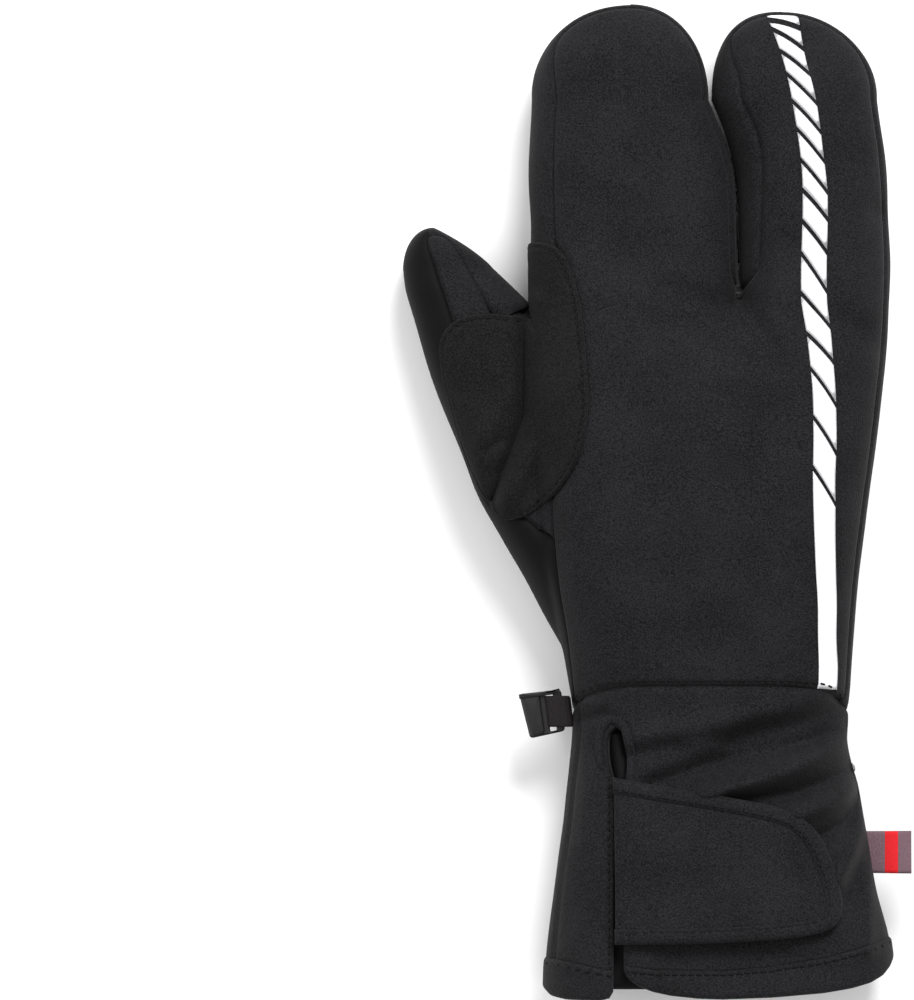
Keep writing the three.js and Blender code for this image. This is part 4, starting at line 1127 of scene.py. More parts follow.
# How far the hem's top is under the gauntlet's end, and the lowest point that the hem may have
HEM_OVERLAP = 0.4
HEM_FLOOR = 0.03


def x_between(start, end, share):
    """Function of y that gives x at shares of the way from one tabled edge to another."""
    def x_at(y):
        left, right = track(*start, y), track(*end, y)
        return left + (right - left) * share[None, :]
    return x_at


def around_cuff(y_of):
    """Columns round the cuff: from the slit's right edge over the right side and the underside to its left.

    y_of gives Y of every row for a share along x and a level; each column keeps its share of the
    width, so it follows the flare of the cuff. The columns where two grids meet are made one.
    """
    grids = []
    for count, crowd, start, end, level in (
        (84, 0.75, (SLIT, 2), (BODY, 2), upper),
        (96, 0.85, (BODY, 2), (BODY, 1), lower),
        (26, 0.7, (BODY, 1), (SLIT, 1), upper),
    ):
        x_at = x_between(start, end, crowded(count, crowd))
        y = y_of(x_at, count, level)
        grids.append(raised(np.dstack([x_at(y), y]), level))
    for before, after in zip(grids, grids[1:]):
        before[:, -1] = after[:, 0] = (before[:, -1] + after[:, 0]) / 2
    return grids


def cuff_rows(x_at, columns, level):
    """Rows from the slanted wrist plane down to the top of the hem."""
    top = np.full((1, columns), -66.0)
    for _ in range(5):
        top = WRIST_Y + WRIST_SLOPE * level(x_at(top), top)
    bottom = np.full((1, columns), -145.0)
    for _ in range(3):
        bottom = hem_line(HEM_TOP, x_at(bottom), level) - HEM_OVERLAP
    share = np.linspace(0, 1, CUFF_ROWS)[:, None]
    return top + (bottom - top) * share


def hem_line(table, x, level):
    """Y of the hem's top or end at x; on the underside it bows from one side edge to the other."""
    if level is not lower:
        return np.interp(x, table[:, 0], table[:, 1])
    right, left = x[..., :1], x[..., -1:]
    share = (x - left) / (right - left)
    at_left, at_right = (np.interp(side, table[:, 0], table[:, 1]) for side in (left, right))
    line = at_left + (at_right - at_left) * share
    middle = HEM_TOP_BELOW if table is HEM_TOP else HEM_END_BELOW
    return line + (middle - line) * np.abs(np.sin(np.pi * share)) ** 0.5


def hem_rows(x_at, columns, level):
    """Rows from the hem's top to its rounded end."""
    top, end = np.full((1, columns), -146.0), np.full((1, columns), -158.0)
    for _ in range(3):
        top = hem_line(HEM_TOP, x_at(top), level)
        end = hem_line(HEM_END, x_at(end), level)
    return top + (end - top) * crowded(HEM_ROWS, 0.6)[:, None]


def cuff_relief(distance, points, seed):
    """Single layer of cloth: drawn in at its seams, and turned in along the slit."""
    top = WRIST_Y + WRIST_SLOPE * points[:, 2]
    from_top = np.maximum(0, top - points[:, 1])
    seam = -1.0 * np.exp(-((from_top / 1.0) ** 2)) - 0.5 * np.exp(-from_top / 3.5)
    slit = np.where(points[:, 2] > 30, np.abs(points[:, 0] + 13.2) - 1.6, 99)
    turned = -1.3 * np.exp(-((np.maximum(slit, 0) / 1.1) ** 2)) * (points[:, 1] < -74)
    sewn = -0.55 * np.exp(-(((points[:, 0] + 16.2) / 0.5) ** 2)) * (points[:, 2] > 30) * (points[:, 1] < -88)
    from_side = points[:, 0] - track(BODY, 1, points[:, 1])
    side = -0.9 * np.exp(-(((from_side - 2.0) / 0.45) ** 2)) * (points[:, 2] > 22)
    fade = np.clip(from_top / 8, 0, 1)
    return seam + turned + sewn + side + 0.3 + ripple(points, seed, 30, 0.28) * fade


def strap_lift(points):
    """How far the strap's middle is above the cuff: close at the slit, and further off at its lower edge."""
    low = smoothstep((-118 - points[:, 1]) / 24)
    out = smoothstep((points[:, 0] - 10) / 45)
    dent = -0.7 * np.exp(-(((points[:, 0] - 31) / 7) ** 2 + ((points[:, 1] + 115) / 11) ** 2))
    return 1.5 + 1.3 * low + 0.5 * out + dent + ripple(points, 31, 24, 0.18)


def build_cuff(wall):
    """Gauntlet and its hem."""
    soft, fleece = finish("softshell"), finish("fleece")
    verts, faces, tags = shell("cuff_gauntlet", around_cuff(cuff_rows), wall, cuff_relief, 12, hand_core)
    piece = write_mesh("cuff_cloth", verts, faces, [soft, fleece], tags)
    settle(piece, "cuff_gauntlet", "softshell")
    grids = around_cuff(hem_rows)
    verts, faces = pillow(grids, -0.6, 1.7, 1.7, hand_core)
    verts[:, 2] = np.maximum(verts[:, 2], HEM_FLOOR)
    settle(write_mesh("hem_cloth", verts, faces, [soft]), "cuff_hem", "softshell")


def loop_middle(points, inside):
    """Middle height of the slit's loop, whose left end goes down beneath the strap."""
    return 0.7 - 2.2 * smoothstep((-84.5 - points[:, 1]) / 4.5) * (points[:, 0] < -13)


def build_slit():
    """Tongue behind the slit, and the loop of folded cloth round the top of the slit."""
    y = np.linspace(-156.5, -74.0, 80)
    left, right = (np.column_stack([np.full(80, x), y]) for x in (-25.0, -2.0))
    plan = between(left, right, 26, 0.3)
    sunk = raised(plan, cuff_top)
    fold = np.exp(-(((plan[..., 0] + 12.6 - (plan[..., 1] + 84) * -0.14) / 1.5) ** 2))
    sunk[..., 2] += -4.6 + 1.9 * fold * (plan[..., 1] > -90)
    verts, faces = pillow([sunk], 0.0, 0.75, 1.0, above)
    # The tongue is the real underlap of the slit; its near-black smooth-panel finish also serves as painted
    # shade for the shadow inside the slit.
    tongue = write_mesh("slit_tongue", verts, faces, [finish("smooth_panel")])
    settle(tongue, "slit_underlap", "smooth_panel")
    line = smooth_line(SLIT_LOOP, 110)
    half_width = np.interp(np.linspace(0, 1, 110), [0, 0.35, 0.5, 0.65, 1], [1.0, 1.15, 1.2, 1.5, 1.9])
    band = band_plan(line, half_width, 10)
    verts, faces = pillow([raised(band, upper)], loop_middle, 0.95, 1.1, above)
    settle(write_mesh("slit_loop", verts, faces, [finish("softshell")]), "slit_binding", "softshell")


def plan_normals(line):
    """Unit vectors square to a plan line, to its left."""
    way = np.gradient(line, axis=0)
    way /= np.maximum(np.linalg.norm(way, axis=1), 1e-9)[:, None]
    return np.column_stack([-way[:, 1], way[:, 0]])


def band_plan(line, half_width, count):
    """Grid across a band of some half width along a plan line."""
    side = plan_normals(line) * np.broadcast_to(half_width, len(line))[:, None]
    return between(line - side, line + side, count, 0.7)


def strap_outline(count):
    """Outline of the strap from its upper sewn corner round the end to its lower one, with plan normals."""
    points = np.array(STRAP_TOP + STRAP_BOTTOM[::-1][1:])
    line = smooth_line(points, count)
    return line, plan_normals(line)


def strap_middle(rise):
    """Middle height of a piece of the strap, some rise above its lift."""
    def middle(points, inside):
        return strap_lift(points) + rise
    return middle


def build_strap(binding):
    """Strap and its bound edge, with a binding of some width."""
    line, normal = strap_outline(260)
    inner = line - normal * (binding - 0.9)
    inner[:, 0] = np.maximum(inner[:, 0], STRAP_START)
    tip = int(np.argmax(inner[:, 0]))
    top = even(np.vstack([[STRAP_START, inner[0, 1]], inner[1:tip + 1]]), 90)
    bottom = even(np.vstack([[STRAP_START, inner[-1, 1]], inner[tip:-1][::-1]]), 90)
    patch = raised(between(bottom, top, 54, 0.7), cuff_top)
    verts, faces = pillow([patch], strap_middle(-0.1), 0.75, 1.2, above)
    settle(write_mesh("strap_cloth", verts, faces, [finish("softshell")]), "wrist_strap", "softshell")
    ring = between(line - normal * binding, line, 16, 0.8)
    ring[..., 0] = np.maximum(ring[..., 0], BINDING_START)
    verts, faces = pillow([raised(ring, cuff_top)], strap_middle(0.3), 1.5, 2.3, above)
    settle(write_mesh("strap_edge", verts, faces, [finish("softshell")]), "strap_binding", "softshell")


# Patches and prints

def laid_on(rise):
    """Middle height of a patch that is sewn down: low rim, a groove for the stitches, then level at rise."""
    def middle(points, inside):
        groove = 0.4 * np.exp(-(((inside - 1.5) / 0.55) ** 2))
        return 0.2 + (rise - 0.2) * roll_up(inside, 1.2) - groove
    return middle


def build_saddle():
    """Reinforcement over the web of the thumb: its hand side, its thumb side and a flap over the edge."""
    count = 90
    right = even(smooth_line(SADDLE_RIGHT, 300), count)
    crease_line = smooth_line(SADDLE_CREASE, 300)
    join = int(round(0.72 * (count - 1)))
    top = int(np.argmin(np.abs(crease_line[:, 1] - SADDLE_LEFT[-1][1])))
    foot, head = even(crease_line[:top + 1], join + 1), even(crease_line[top:], count - join)
    crease = np.vstack([foot, head[1:]])
    left = even(smooth_line(SADDLE_LEFT, 300), join + 1)
    left[-1] = foot[-1]
    edge = crease[join:]
    fade = np.sin(np.linspace(0, 1, len(edge)) * np.pi)[:, None] ** 0.5
    under = edge + fade * [1.1, 0]
    under[-1] = edge[-1]
    hand_side = raised(between(crease, right, 34, 0.5), upper)
    thumb_side = raised(between(left, foot, 40, 0.5), upper)
    flap = np.dstack([between(edge, under, 9, 0.3), np.zeros((len(edge), 9))])
    top_z = upper(edge[:, 0], edge[:, 1])
    reach = np.sin(np.linspace(0, np.pi / 2, 9))[None, :]
    flap[..., 2] = top_z[:, None] - reach * 8.0 * fade
    verts, faces = pillow([hand_side, thumb_side, flap], laid_on(0.95), 0.65, 1.0, above)
    patch = write_mesh("saddle_cloth", verts, faces, [finish("grip_patch")])
    settle(patch, "saddle_patch", "grip_patch")


def build_palm_patches():
    """Reinforcements under the knuckles and under the heel of the hand."""
    for name, node, top, bottom in (
        ("knuckle_cloth", "knuckle_patch", KNUCKLE_TOP, KNUCKLE_BOTTOM),
        ("heel_cloth", "heel_patch", HEEL_TOP, HEEL_BOTTOM),
    ):
        upper_edge, lower_edge = smooth_line(top, 84), smooth_line(bottom, 84)
        patch = raised(between(lower_edge, upper_edge, 44, 0.6), lower)
        verts, faces = pillow([patch], laid_on(0.75), 0.5, 0.8, below)
        settle(write_mesh(name, verts, faces, [finish("grip_patch")]), node, "grip_patch")


def slanted_cells(line, width, pitch, gap, slant):
    """Four-cornered cells along a plan line, parted by slanted gaps; each is a grid of plan points."""
    length = np.linalg.norm(np.diff(line, axis=0), axis=1).sum()
    fine = even(line, 400)
    side = plan_normals(fine)
    at = np.arange(400)
    cells = []
    for k in range(int((length - slant) // pitch)):
        across = np.linspace(-0.5, 0.5, 8)[:, None]
        along = slant * (0.5 - across) + pitch * k + np.linspace(gap / 2, pitch - gap / 2, 8)[None, :]
        place = np.clip(along / length * 399, 0, 399)
        cells.append(np.dstack([
            np.interp(place, at, fine[:, axis]) + np.interp(place, at, side[:, axis]) * across * width
            for axis in (0, 1)
        ]))
    return cells


def build_prints():
    """Glossy printed cells on the palm's reinforcements."""
    band = slanted_cells(smooth_line(BAND_LINE, 200), 7.0, 8.0, 0.7, 5.0)
    bars = [cell for bar in HEEL_BARS for cell in slanted_cells(smooth_line(bar, 100), 8.5, 6.6, 0.9, 4.0)]
    for name, cells in (("knuckle_print", band), ("heel_print", bars)):
        verts, faces = joined([pillow([raised(cell, lower)], 1.16, 0.22, 0.5, below) for cell in cells])
        settle(write_mesh(name, verts, faces, [finish("silicone")]), slot="grip_patch")


def joined(parts):
    """Several vertex and face arrays as one."""
    verts, faces, start = [], [], 0
    for points, corners in parts:
        verts.append(points)
        faces.append(corners + start)
        start += len(points)
    return np.concatenate(verts), np.concatenate(faces)


def on_back(plan, lift):
    """Places a little above the cloth of the back panel, its loft and unevenness counted in."""
    points, normal = facing(plan, upper)
    flat = points.reshape(-1, 3)
    move = on_panel("back_panel", BACK_SEED, lift)(flat)
    return points + normal * move.reshape(points.shape[:2])[..., None]


def build_stripe(cut):
    """Reflective print: white cells between slanted black cuts, and one long cell down to the wrist."""
    cuts = (STRIPE_TOP, *STRIPE_CUTS, STRIPE_FOOT)
    parts = []
    for number, (cut_above, cut_below) in enumerate(zip(cuts, cuts[1:])):
        first, last = number == 0, number == len(cuts) - 2
        top = np.array(cut_above) - (0 if first else cut / 2)
        low = np.array(cut_below) + (0 if last else cut / 2)
        rows = max(4, int((top[0] - low[0]) / 1.6))
        f = np.linspace(0, 1, 9)[None, :]
        bow = 0.4 * np.sin(np.pi * f)
        top_y = top[0] + (top[1] - top[0]) * f + (0 if first else bow)
        low_y = low[0] + (low[1] - low[0]) * f + (0 if last else bow)
        y = low_y + (top_y - low_y) * np.linspace(0, 1, rows)[:, None]
        x = track(STRIPE, 1, y) + (track(STRIPE, 2, y) - track(STRIPE, 1, y)) * f
        parts.append(pillow([on_back(np.dstack([x, y]), 0.22)], 0.0, 0.09, 0.2, above))
    verts, faces = joined(parts)
    stripe = write_mesh("stripe_print", verts, faces, [finish("reflective")])
    settle(stripe, "reflective_stripe", "reflective")


# Webbing, clip and tag

CLIP_OUTLINE = ((-44.8, -62.3), (-41.2, -76.7), (-29.9, -74.2), (-31.2, -60.9))
CLIP_HOLE = ((-36.4, -61.9), (-34.6, -74.4), (-32.6, -74.0), (-34.1, -61.6))
CLIP_HOOK = ((-44.4, -62.9), (-41.0, -76.0), (-36.3, -75.0), (-38.2, -61.9))
CLIP_LIP = ((-44.9, -62.4), (-44.7, -64.0), (-34.2, -62.5), (-31.4, -60.8))
# Webbing: middle of its loop, height of that middle, and half of its size along X and Z
WEBBING_MIDDLE = -67.9
WEBBING_HEIGHT = 22
WEBBING_HALF_X = 4.2
WEBBING_HALF_Z = 2.1


def inset(ring, distance):
    """Closed ring moved in by a distance, square to its own direction at each point."""
    way = np.roll(ring, -1, axis=0) - np.roll(ring, 1, axis=0)
    way /= np.linalg.norm(way, axis=1)[:, None]
    return ring + np.column_stack([-way[:, 1], way[:, 0]]) * distance


def slab(outline, hole, low, high, rounding):
    """Plate with rounded edges: half a rounded rectangle is carried round its outline, and then the plate is
    closed at its middle, or the other half is carried round its hole.
    """
    half, middle = (high - low) / 2, (high + low) / 2
    angles = np.linspace(-np.pi / 2, np.pi / 2, 7)

    def side_loops(ring, turn):
        """Rings of one half of the profile: upwards for an outline, downwards for a hole."""
        return [np.column_stack([
            inset(ring, turn * rounding * (1 - np.cos(angle))),
            np.full(len(ring), middle + np.sign(angle) * (half - rounding) + rounding * np.sin(angle)),
        ]) for angle in angles * turn]

    loops = side_loops(outline, 1)
    if hole is None:
        under, over = (np.tile([*outline.mean(0), level], (len(outline), 1)) for level in (low, high))
        loops = [under, *loops, over]
    else:
        loops += side_loops(hole, -1)
        loops.append(loops[0])
    grid = np.array(loops)
    return weld([np.concatenate([grid, grid[:, :1]], axis=1)])


def corner_ring(points, radius, steps):
    """Closed outline with rounded corners, turning anticlockwise."""
    points = np.asarray(points, float)
    ring = []
    for k, corner in enumerate(points):
        before, after = points[k - 1], points[(k + 1) % len(points)]
        a = (before - corner) / np.linalg.norm(before - corner)
        b = (after - corner) / np.linalg.norm(after - corner)
        t = np.linspace(0, 1, steps)[:, None]
        ring.append(corner + a * radius * (1 - t) ** 2 + b * radius * t ** 2)
    return np.vstack(ring)


def build_clip():
    """Webbing loop with its ribs, and the moulded clip on it."""
    around = np.linspace(0, 2 * np.pi, 61)
    ribs = 0.14 * np.abs(np.sin(around * 9))
    x = np.sign(np.cos(around)) * np.abs(np.cos(around)) ** 0.55
    z = np.sign(np.sin(around)) * np.abs(np.sin(around)) ** 0.8
    across = np.linspace(WEBBING_MIDDLE - 5, WEBBING_MIDDLE + 5, 24)
    edge = 1 - 0.12 * np.exp(-((np.abs(across - WEBBING_MIDDLE) - 5) / 0.35) ** 2)
    loops = []
    for scale, side, rows in ((1.0, 1, across), (0.62, -1, across[::-1])):
        grow = scale * WEBBING_HALF_X + ribs * side
        tall = scale * WEBBING_HALF_Z - (0.1 if side < 0 else 0) + ribs * side
        for y, swell in zip(rows, edge):
            slant = 0.12 * (WEBBING_MIDDLE - y)
            loops.append(np.column_stack([
                -31.9 + slant + x * grow * swell, np.full(61, y), WEBBING_HEIGHT + z * tall * swell,
            ]))
    loops.append(loops[0])
    verts, faces = weld([np.array(loops)])
    webbing = write_mesh("webbing_loop", verts, outward(verts, faces), [finish("webbing")])
    settle(webbing, "clip_webbing", "webbing")
    plate = slab(corner_ring(CLIP_OUTLINE, 1.3, 24), corner_ring(CLIP_HOLE, 0.5, 24), 21.1, 22.9, 0.5)
    hook = slab(corner_ring(CLIP_HOOK, 1.2, 12), None, 20.1, 23.9, 0.8)
    lip = slab(corner_ring(CLIP_LIP, 0.35, 12), None, 20.6, 24.3, 0.5)
    verts, faces = joined([(points, outward(points, corners)) for points, corners in (plate, hook, lip)])
    settle(write_mesh("clip_body", verts, faces, [finish("clip_plastic")]), "clip", "clip_plastic")


def outward(verts, faces):
    """Faces turned so that the solid they close has a positive volume."""
    a, b, c, d = (verts[faces[:, k]] - verts.mean(0) for k in range(4))
    volume = (np.cross(a, b) * c).sum() + (np.cross(a, c) * d).sum()
    return faces if volume > 0 else faces[:, ::-1]


def build_tag():
    """Folded tag in the side seam, slightly curled, with a plain red band."""
    u, v = np.linspace(0, 1, 26), np.linspace(0, 1, 22)
    left = np.column_stack([np.full(22, 66.8), -120 + 13.5 * v])
    right = np.column_stack([np.full(22, 81.8), -120.2 + 13.8 * v])
    plan = between(left, right, 26, 0.3)
    z = 24 + 0.5 * np.sin(plan[..., 1] / 4.0) * u[None, :] + 0.35 * np.cos(plan[..., 0] / 3)
    points = np.dstack([plan, z])
    verts, faces = pillow([points], 0.0, 0.55, 0.7, above)
    middle = verts[faces].mean(1)
    band = (middle[:, 0] > 73.2) & (middle[:, 0] < 77.6)
    piece = write_mesh("tag_tape", verts, faces, [finish("tag"), finish("tag_band")], band.astype(int))
    settle(piece, "side_tag", "tag")


# Stitches

def capsule():
    """Small stitch along +X: four hexagonal rings closed at both ends."""
    angles = np.arange(6) * np.pi / 3
    rings = [(-0.95, 0.14), (-0.65, 0.34), (0.65, 0.34), (0.95, 0.14)]
    verts = np.array([[x, r * np.cos(a), r * np.sin(a)] for x, r in rings for a in angles])
    faces = [[k * 6 + j, k * 6 + (j + 1) % 6, (k + 1) * 6 + (j + 1) % 6, (k + 1) * 6 + j]
             for k in range(3) for j in range(6)]
    ends = [[5, 4, 3, 2], [5, 2, 1, 0], [18, 19, 20, 21], [18, 21, 22, 23]]
    return verts, np.array(faces + ends)


def stitch_row(plan, level, lift):
    """Stitches along a plan line, each turned to the line and the surface; lift gives the height above it."""
    length = np.linalg.norm(np.diff(plan, axis=0), axis=1).sum()
    line = even(plan, max(3, int(length / STITCH_PITCH)))
    points, normal = facing(line[:, None, :], level)
    points, normal = points[:, 0], normal[:, 0]
    height = lift(points) if callable(lift) else np.full(len(points), float(lift))
    points = points + normal * height[:, None]
    way = np.gradient(points, axis=0)
    way /= np.linalg.norm(way, axis=1)[:, None]
    side = np.cross(normal, way)
    side /= np.linalg.norm(side, axis=1)[:, None]
    up = np.cross(way, side)
    base, faces = capsule()
    axes = np.stack([way, side, up], 1)
    verts = points[:, None, :] + np.einsum("vk,nkc->nvc", base, axes)
    index = faces[None] + (np.arange(len(points)) * len(base))[:, None, None]
    return verts.reshape(-1, 3), index.reshape(-1, 4)[:, ::-1]


def on_panel(node, seed, lift):
    """Function of points that gives a lift above a padded panel's cloth."""
    def height(points):
        return padded_relief(distance_to(points, *RIMS[node]), points, seed) + lift
    return height


def on_wrist_seam(points):
    """Height of the stitches beside the wrist seam, raised where they cross the stripe."""
    over_stripe = 0.35 * np.exp(-(((points[:, 0] - 52) / 7) ** 4))
    return on_panel("back_panel", BACK_SEED, 0.02)(points) + over_stripe


def on_strap(points):
    """Height of the stitches on the strap's bound edge."""
    return strap_lift(points) + 1.5


def beside(edge, count, inside):
    """Smooth line through the points of an edge, moved to its left by a distance."""
    line = smooth_line(edge, count)
    return line + plan_normals(line) * inside


def build_stitches(binding):
    """Topstitching of every seam that shows it; each row gives a name, plan lines, level and lift."""
    xs = np.linspace(-26.5, 59.0, 120)
    wrist = np.column_stack([xs, wrist_y(xs, upper) + 1.9])
    line, normal = strap_outline(260)
    strap = (line - normal * (binding - 1.2))[3:-3]
    slit = np.column_stack([np.full(60, -16.2), np.linspace(-89, -158, 60)])
    hem = [
        np.column_stack([x, np.interp(x, HEM_TOP[:, 0], HEM_TOP[:, 1]) - 1.9])
        for x in (np.linspace(-10.5, 73.5, 120), np.linspace(-35.0, -16.0, 30))
    ]
    saddle = [beside(SADDLE_RIGHT, 200, 1.5)[4:-14], beside(SADDLE_LEFT, 200, -1.5)[4:-12]]
    palm = [
        beside(edge, 160, side)[6:-4]
        for top, bottom in ((KNUCKLE_TOP, KNUCKLE_BOTTOM), (HEEL_TOP, HEEL_BOTTOM))
        for edge, side in ((top, -1.4), (bottom, 1.4))
    ]
    for name, lines, level, lift in (
        ("wrist_stitches", [wrist], upper, on_wrist_seam),
        ("strap_stitches", [strap], cuff_top, on_strap),
        ("slit_stitches", [slit], upper, -0.25),
        ("hem_stitches", hem, upper, 1.22),
        ("saddle_stitches", saddle, upper, 1.32),
        ("palm_stitches", palm, lower, 0.95),
    ):
        verts, faces = joined([stitch_row(line, level, lift) for line in lines])
        settle(write_mesh(name, verts, faces, [finish("thread")]))


# Studio

FLOOR_HALF = 20000.0
FLOOR_TONES = ((0.3, (0.90, 0.90, 0.90)), (0.7, (0.92, 0.92, 0.92)))
# Lights: name, place in metres and width
LAMPS = (("key_light", (0.45, 1.35, 1.5), 0.9), ("fill_light", (-1.4, 0.3, 1.7), 1.4))
LAMP_AIM = (0.0, 0.0, 0.02)
CAMERA_PLACE = (-0.0648, 0.0003, 3.608)


def build_stage(key, fill, surroundings):
    """Large pale floor, two soft lights from above, pale surroundings and the camera."""
    corners = FLOOR_HALF * np.array([[-1.0, -1, 0], [1, -1, 0], [1, 1, 0], [-1, 1, 0]])
    material, tree, shader, place = node_tree("studio_floor")
    tone = noise(tree, place, 3.0, 2.0)
    tree.links.new(ramp(tree, tone, FLOOR_TONES), shader.inputs["Base Color"])
    shader.inputs["Roughness"].default_value = 0.9
    floor = write_mesh("studio_floor", corners, np.array([[0, 1, 2, 3]]), [material], smooth=False)
    world = bpy.data.worlds.new("studio")
    world.use_nodes = True
    background = world.node_tree.nodes["Background"]
    background.inputs["Color"].default_value = (1, 1, 1, 1)
    background.inputs["Strength"].default_value = surroundings
    bpy.context.scene.world = world
    for (name, spot, width), power in zip(LAMPS, (key, fill)):
        data = bpy.data.lights.new(name, "AREA")
        data.shape = "DISK"
        data.size = width
        data.energy = power
        lamp = bpy.data.objects.new(name, data)
        lamp.location = spot
        lamp.rotation_euler = direction(np.array(LAMP_AIM) - np.array(spot))
        lamp.visible_camera = False
        bpy.context.scene.collection.objects.link(lamp)
    camera = bpy.data.cameras.new("camera")
    camera.lens = 400
    camera.sensor_width = 36
    camera.clip_end = 200
    eye = bpy.data.objects.new("camera", camera)
    eye.location = CAMERA_PLACE
    bpy.context.scene.collection.objects.link(eye)
    bpy.context.scene.camera = eye
    bpy.context.scene.view_settings.view_transform = "Standard"


def direction(way):
    """Euler angles that point an object's -Z axis along a direction."""
    way = way / np.linalg.norm(way)
    return (math.acos(-way[2]), 0.0, math.atan2(way[0], -way[1]) + math.pi)


# Settings, operators and panel

def colour_setting(name, label):
    """Colour property whose default is the finish's own colour."""
    colour = (CLOTHS.get(name) or PLAINS[name])[0]
    return bpy.props.FloatVectorProperty(
        name=label, description=f"Mean colour of the {label.lower()}", default=colour, subtype="COLOR",
        size=3, min=0.0, max=1.0,
    )


def length_setting(label, description, value, low, high):
    """Length property, in metres, from millimetres."""
    return bpy.props.FloatProperty(
        name=label, description=description, default=value * MM, min=low * MM, max=high * MM, unit="LENGTH",
        precision=4,
    )


class GloveColours(bpy.types.PropertyGroup):
    """Colours of the finishes."""

    softshell: colour_setting("softshell", "Softshell")
    smooth_panel: colour_setting("smooth_panel", "Smooth panel")
    grip_patch: colour_setting("grip_patch", "Grip suede")
    fleece: colour_setting("fleece", "Lining")
    thread: colour_setting("thread", "Thread")
    silicone: colour_setting("silicone", "Silicone print")
    reflective: colour_setting("reflective", "Reflective print")
    webbing: colour_setting("webbing", "Webbing")
    clip_plastic: colour_setting("clip_plastic", "Clip")
    tag: colour_setting("tag", "Tag")
    tag_band: colour_setting("tag_band", "Tag band")


class GloveSizes(bpy.types.PropertyGroup):
    """Thicknesses and widths of the cloth."""

    pad_wall: length_setting("Padded wall", "Thickness of the padded panels", PAD_WALL, 1, 6)
    cuff_wall: length_setting("Cuff wall", "Thickness of the gauntlet", CUFF_WALL, 1, 4)
    binding: length_setting("Binding", "Width of the strap's bound edge", BINDING_WIDTH, 3, 8)
    cut: length_setting("Stripe cut", "Height of the cuts in the stripe", CUT_WIDTH, 0.5, 4)


class StudioSettings(bpy.types.PropertyGroup):
    """Strength of the studio light."""

    key: bpy.props.FloatProperty(
        name="Key light", description="Power of the light at the fingertips", default=46.0, min=0.0,
        max=500.0, unit="POWER",
    )
    fill: bpy.props.FloatProperty(
        name="Fill light", description="Power of the light on the thumb side", default=14.0, min=0.0,
        max=500.0, unit="POWER",
    )
    surroundings: bpy.props.FloatProperty(
        name="Surroundings", description="Strength of the pale surroundings", default=0.85, min=0.0,
        max=1.0, subtype="FACTOR",
    )


class GloveStage(bpy.types.Operator):
    """Make the floor, the lights, the surroundings and the camera."""

    bl_idname = "glove.stage"
    bl_label = "Stage"

    def execute(self, context):
        studio = context.scene.glove_studio
        build_stage(studio.key, studio.fill, studio.surroundings)
        return {"FINISHED"}


class GloveHand(bpy.types.Operator):
    """Make the padded panels of the hand and the two finger lobes."""

    bl_idname = "glove.hand"
    bl_label = "Hand panels"

    def execute(self, context):
        build_hand(context.scene.glove_sizes.pad_wall / MM)
        return {"FINISHED"}


class GloveThumb(bpy.types.Operator):
    """Make the padded panels of the thumb."""

    bl_idname = "glove.thumb"
    bl_label = "Thumb panels"

    def execute(self, context):
        build_thumb(context.scene.glove_sizes.pad_wall / MM)
        return {"FINISHED"}


class GloveCuff(bpy.types.Operator):
    """Make the gauntlet with its folds, and its hem."""

    bl_idname = "glove.cuff"
    bl_label = "Cuff and hem"

    def execute(self, context):
        build_cuff(context.scene.glove_sizes.cuff_wall / MM)
        return {"FINISHED"}


class GloveSlit(bpy.types.Operator):
    """Make the tongue behind the slit and the loop at its top."""

    bl_idname = "glove.slit"
    bl_label = "Slit"

    def execute(self, context):
        build_slit()
        return {"FINISHED"}


class GloveStrap(bpy.types.Operator):
    """Make the wrist strap and its bound edge."""

    bl_idname = "glove.strap"
    bl_label = "Strap"

    def execute(self, context):
        build_strap(context.scene.glove_sizes.binding / MM)
        return {"FINISHED"}


class GloveSaddle(bpy.types.Operator):
    """Make the reinforcement over the web of the thumb."""

    bl_idname = "glove.saddle"
    bl_label = "Thumb web patch"

    def execute(self, context):
        build_saddle()
        return {"FINISHED"}


class GlovePalmPatches(bpy.types.Operator):
    """Make the reinforcements of the palm and their silicone prints."""

    bl_idname = "glove.palm_patches"
    bl_label = "Palm patches"

    def execute(self, context):
        build_palm_patches()
        build_prints()
        return {"FINISHED"}


class GloveStripe(bpy.types.Operator):
    """Make the reflective stripe; it lies on the back panel, which comes first."""

    bl_idname = "glove.stripe"
    bl_label = "Reflective stripe"

    def execute(self, context):
        build_stripe(context.scene.glove_sizes.cut / MM)
        return {"FINISHED"}


class GloveClip(bpy.types.Operator):
    """Make the webbing loop and the clip."""

    bl_idname = "glove.clip"
    bl_label = "Webbing and clip"

    def execute(self, context):
        build_clip()
        return {"FINISHED"}


class GloveTag(bpy.types.Operator):
    """Make the tag in the side seam."""

    bl_idname = "glove.tag"
    bl_label = "Tag"

    def execute(self, context):
        build_tag()
        return {"FINISHED"}


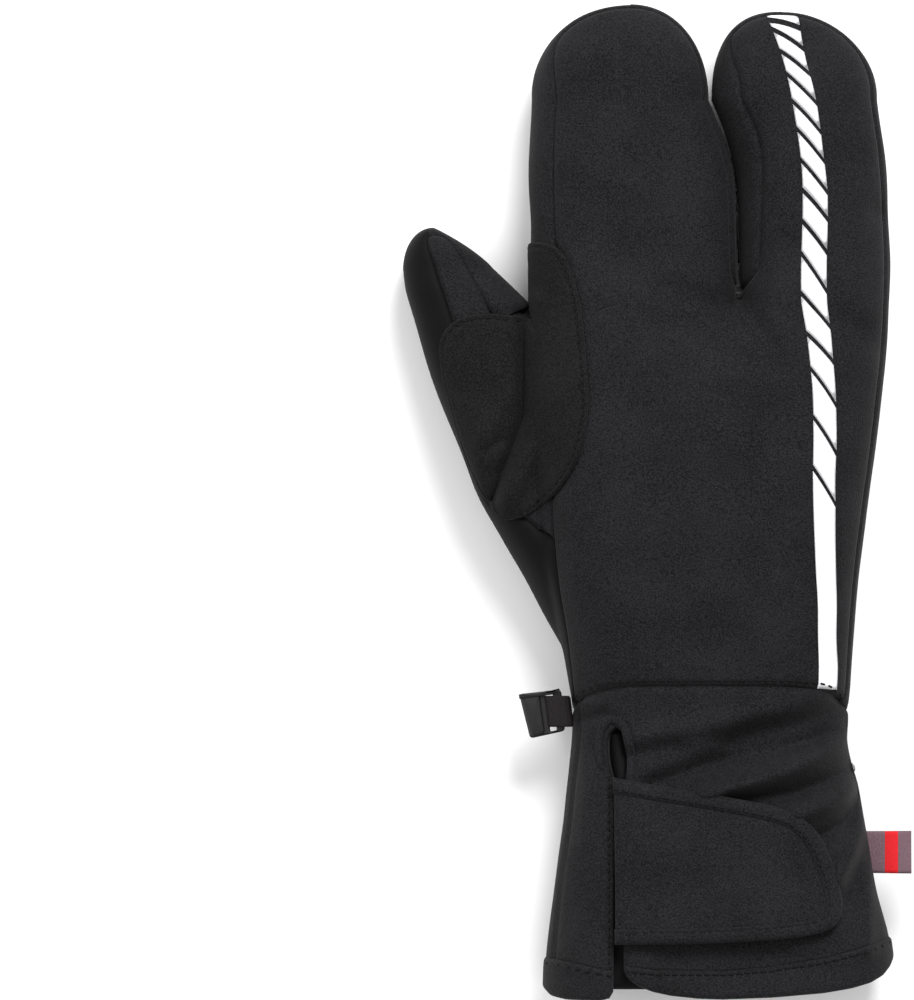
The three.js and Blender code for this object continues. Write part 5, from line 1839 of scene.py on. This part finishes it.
class GloveStitches(bpy.types.Operator):
    """Make the topstitching; it lies on the panels, which come first."""

    bl_idname = "glove.stitches"
    bl_label = "Stitches"

    def execute(self, context):
        build_stitches(context.scene.glove_sizes.binding / MM)
        return {"FINISHED"}


OPERATORS = (
    GloveStage, GloveHand, GloveThumb, GloveCuff, GloveSlit, GloveStrap, GloveSaddle, GlovePalmPatches,
    GloveStripe, GloveClip, GloveTag, GloveStitches,
)


class GlovePanel(bpy.types.Panel):
    """Settings and steps of the glove."""

    bl_idname = "VIEW3D_PT_glove"
    bl_label = "Winter glove"
    bl_space_type = "VIEW_3D"
    bl_region_type = "UI"
    bl_category = "Glove"

    def draw(self, context):
        for settings in (context.scene.glove_sizes, context.scene.glove_colours, context.scene.glove_studio):
            box = self.layout.box()
            for name in settings.__annotations__:
                box.prop(settings, name)
        for operator in OPERATORS:
            self.layout.operator(operator.bl_idname)


def register():
    """Register the settings, the operators and the panel."""
    for kind in (GloveColours, GloveSizes, StudioSettings, *OPERATORS, GlovePanel):
        bpy.utils.register_class(kind)
    bpy.types.Scene.glove_colours = bpy.props.PointerProperty(type=GloveColours)
    bpy.types.Scene.glove_sizes = bpy.props.PointerProperty(type=GloveSizes)
    bpy.types.Scene.glove_studio = bpy.props.PointerProperty(type=StudioSettings)


def unregister():
    """Take them away again."""
    del bpy.types.Scene.glove_studio, bpy.types.Scene.glove_sizes, bpy.types.Scene.glove_colours
    for kind in (GlovePanel, *reversed(OPERATORS), StudioSettings, GloveSizes, GloveColours):
        bpy.utils.unregister_class(kind)


def main():
    """Build everything in order."""
    register()
    bpy.ops.glove.stage()
    bpy.ops.glove.hand()
    bpy.ops.glove.thumb()
    bpy.ops.glove.cuff()
    bpy.ops.glove.slit()
    bpy.ops.glove.strap()
    bpy.ops.glove.saddle()
    bpy.ops.glove.palm_patches()
    bpy.ops.glove.stripe()
    bpy.ops.glove.clip()
    bpy.ops.glove.tag()
    bpy.ops.glove.stitches()


if __name__ == "__main__":
    main()
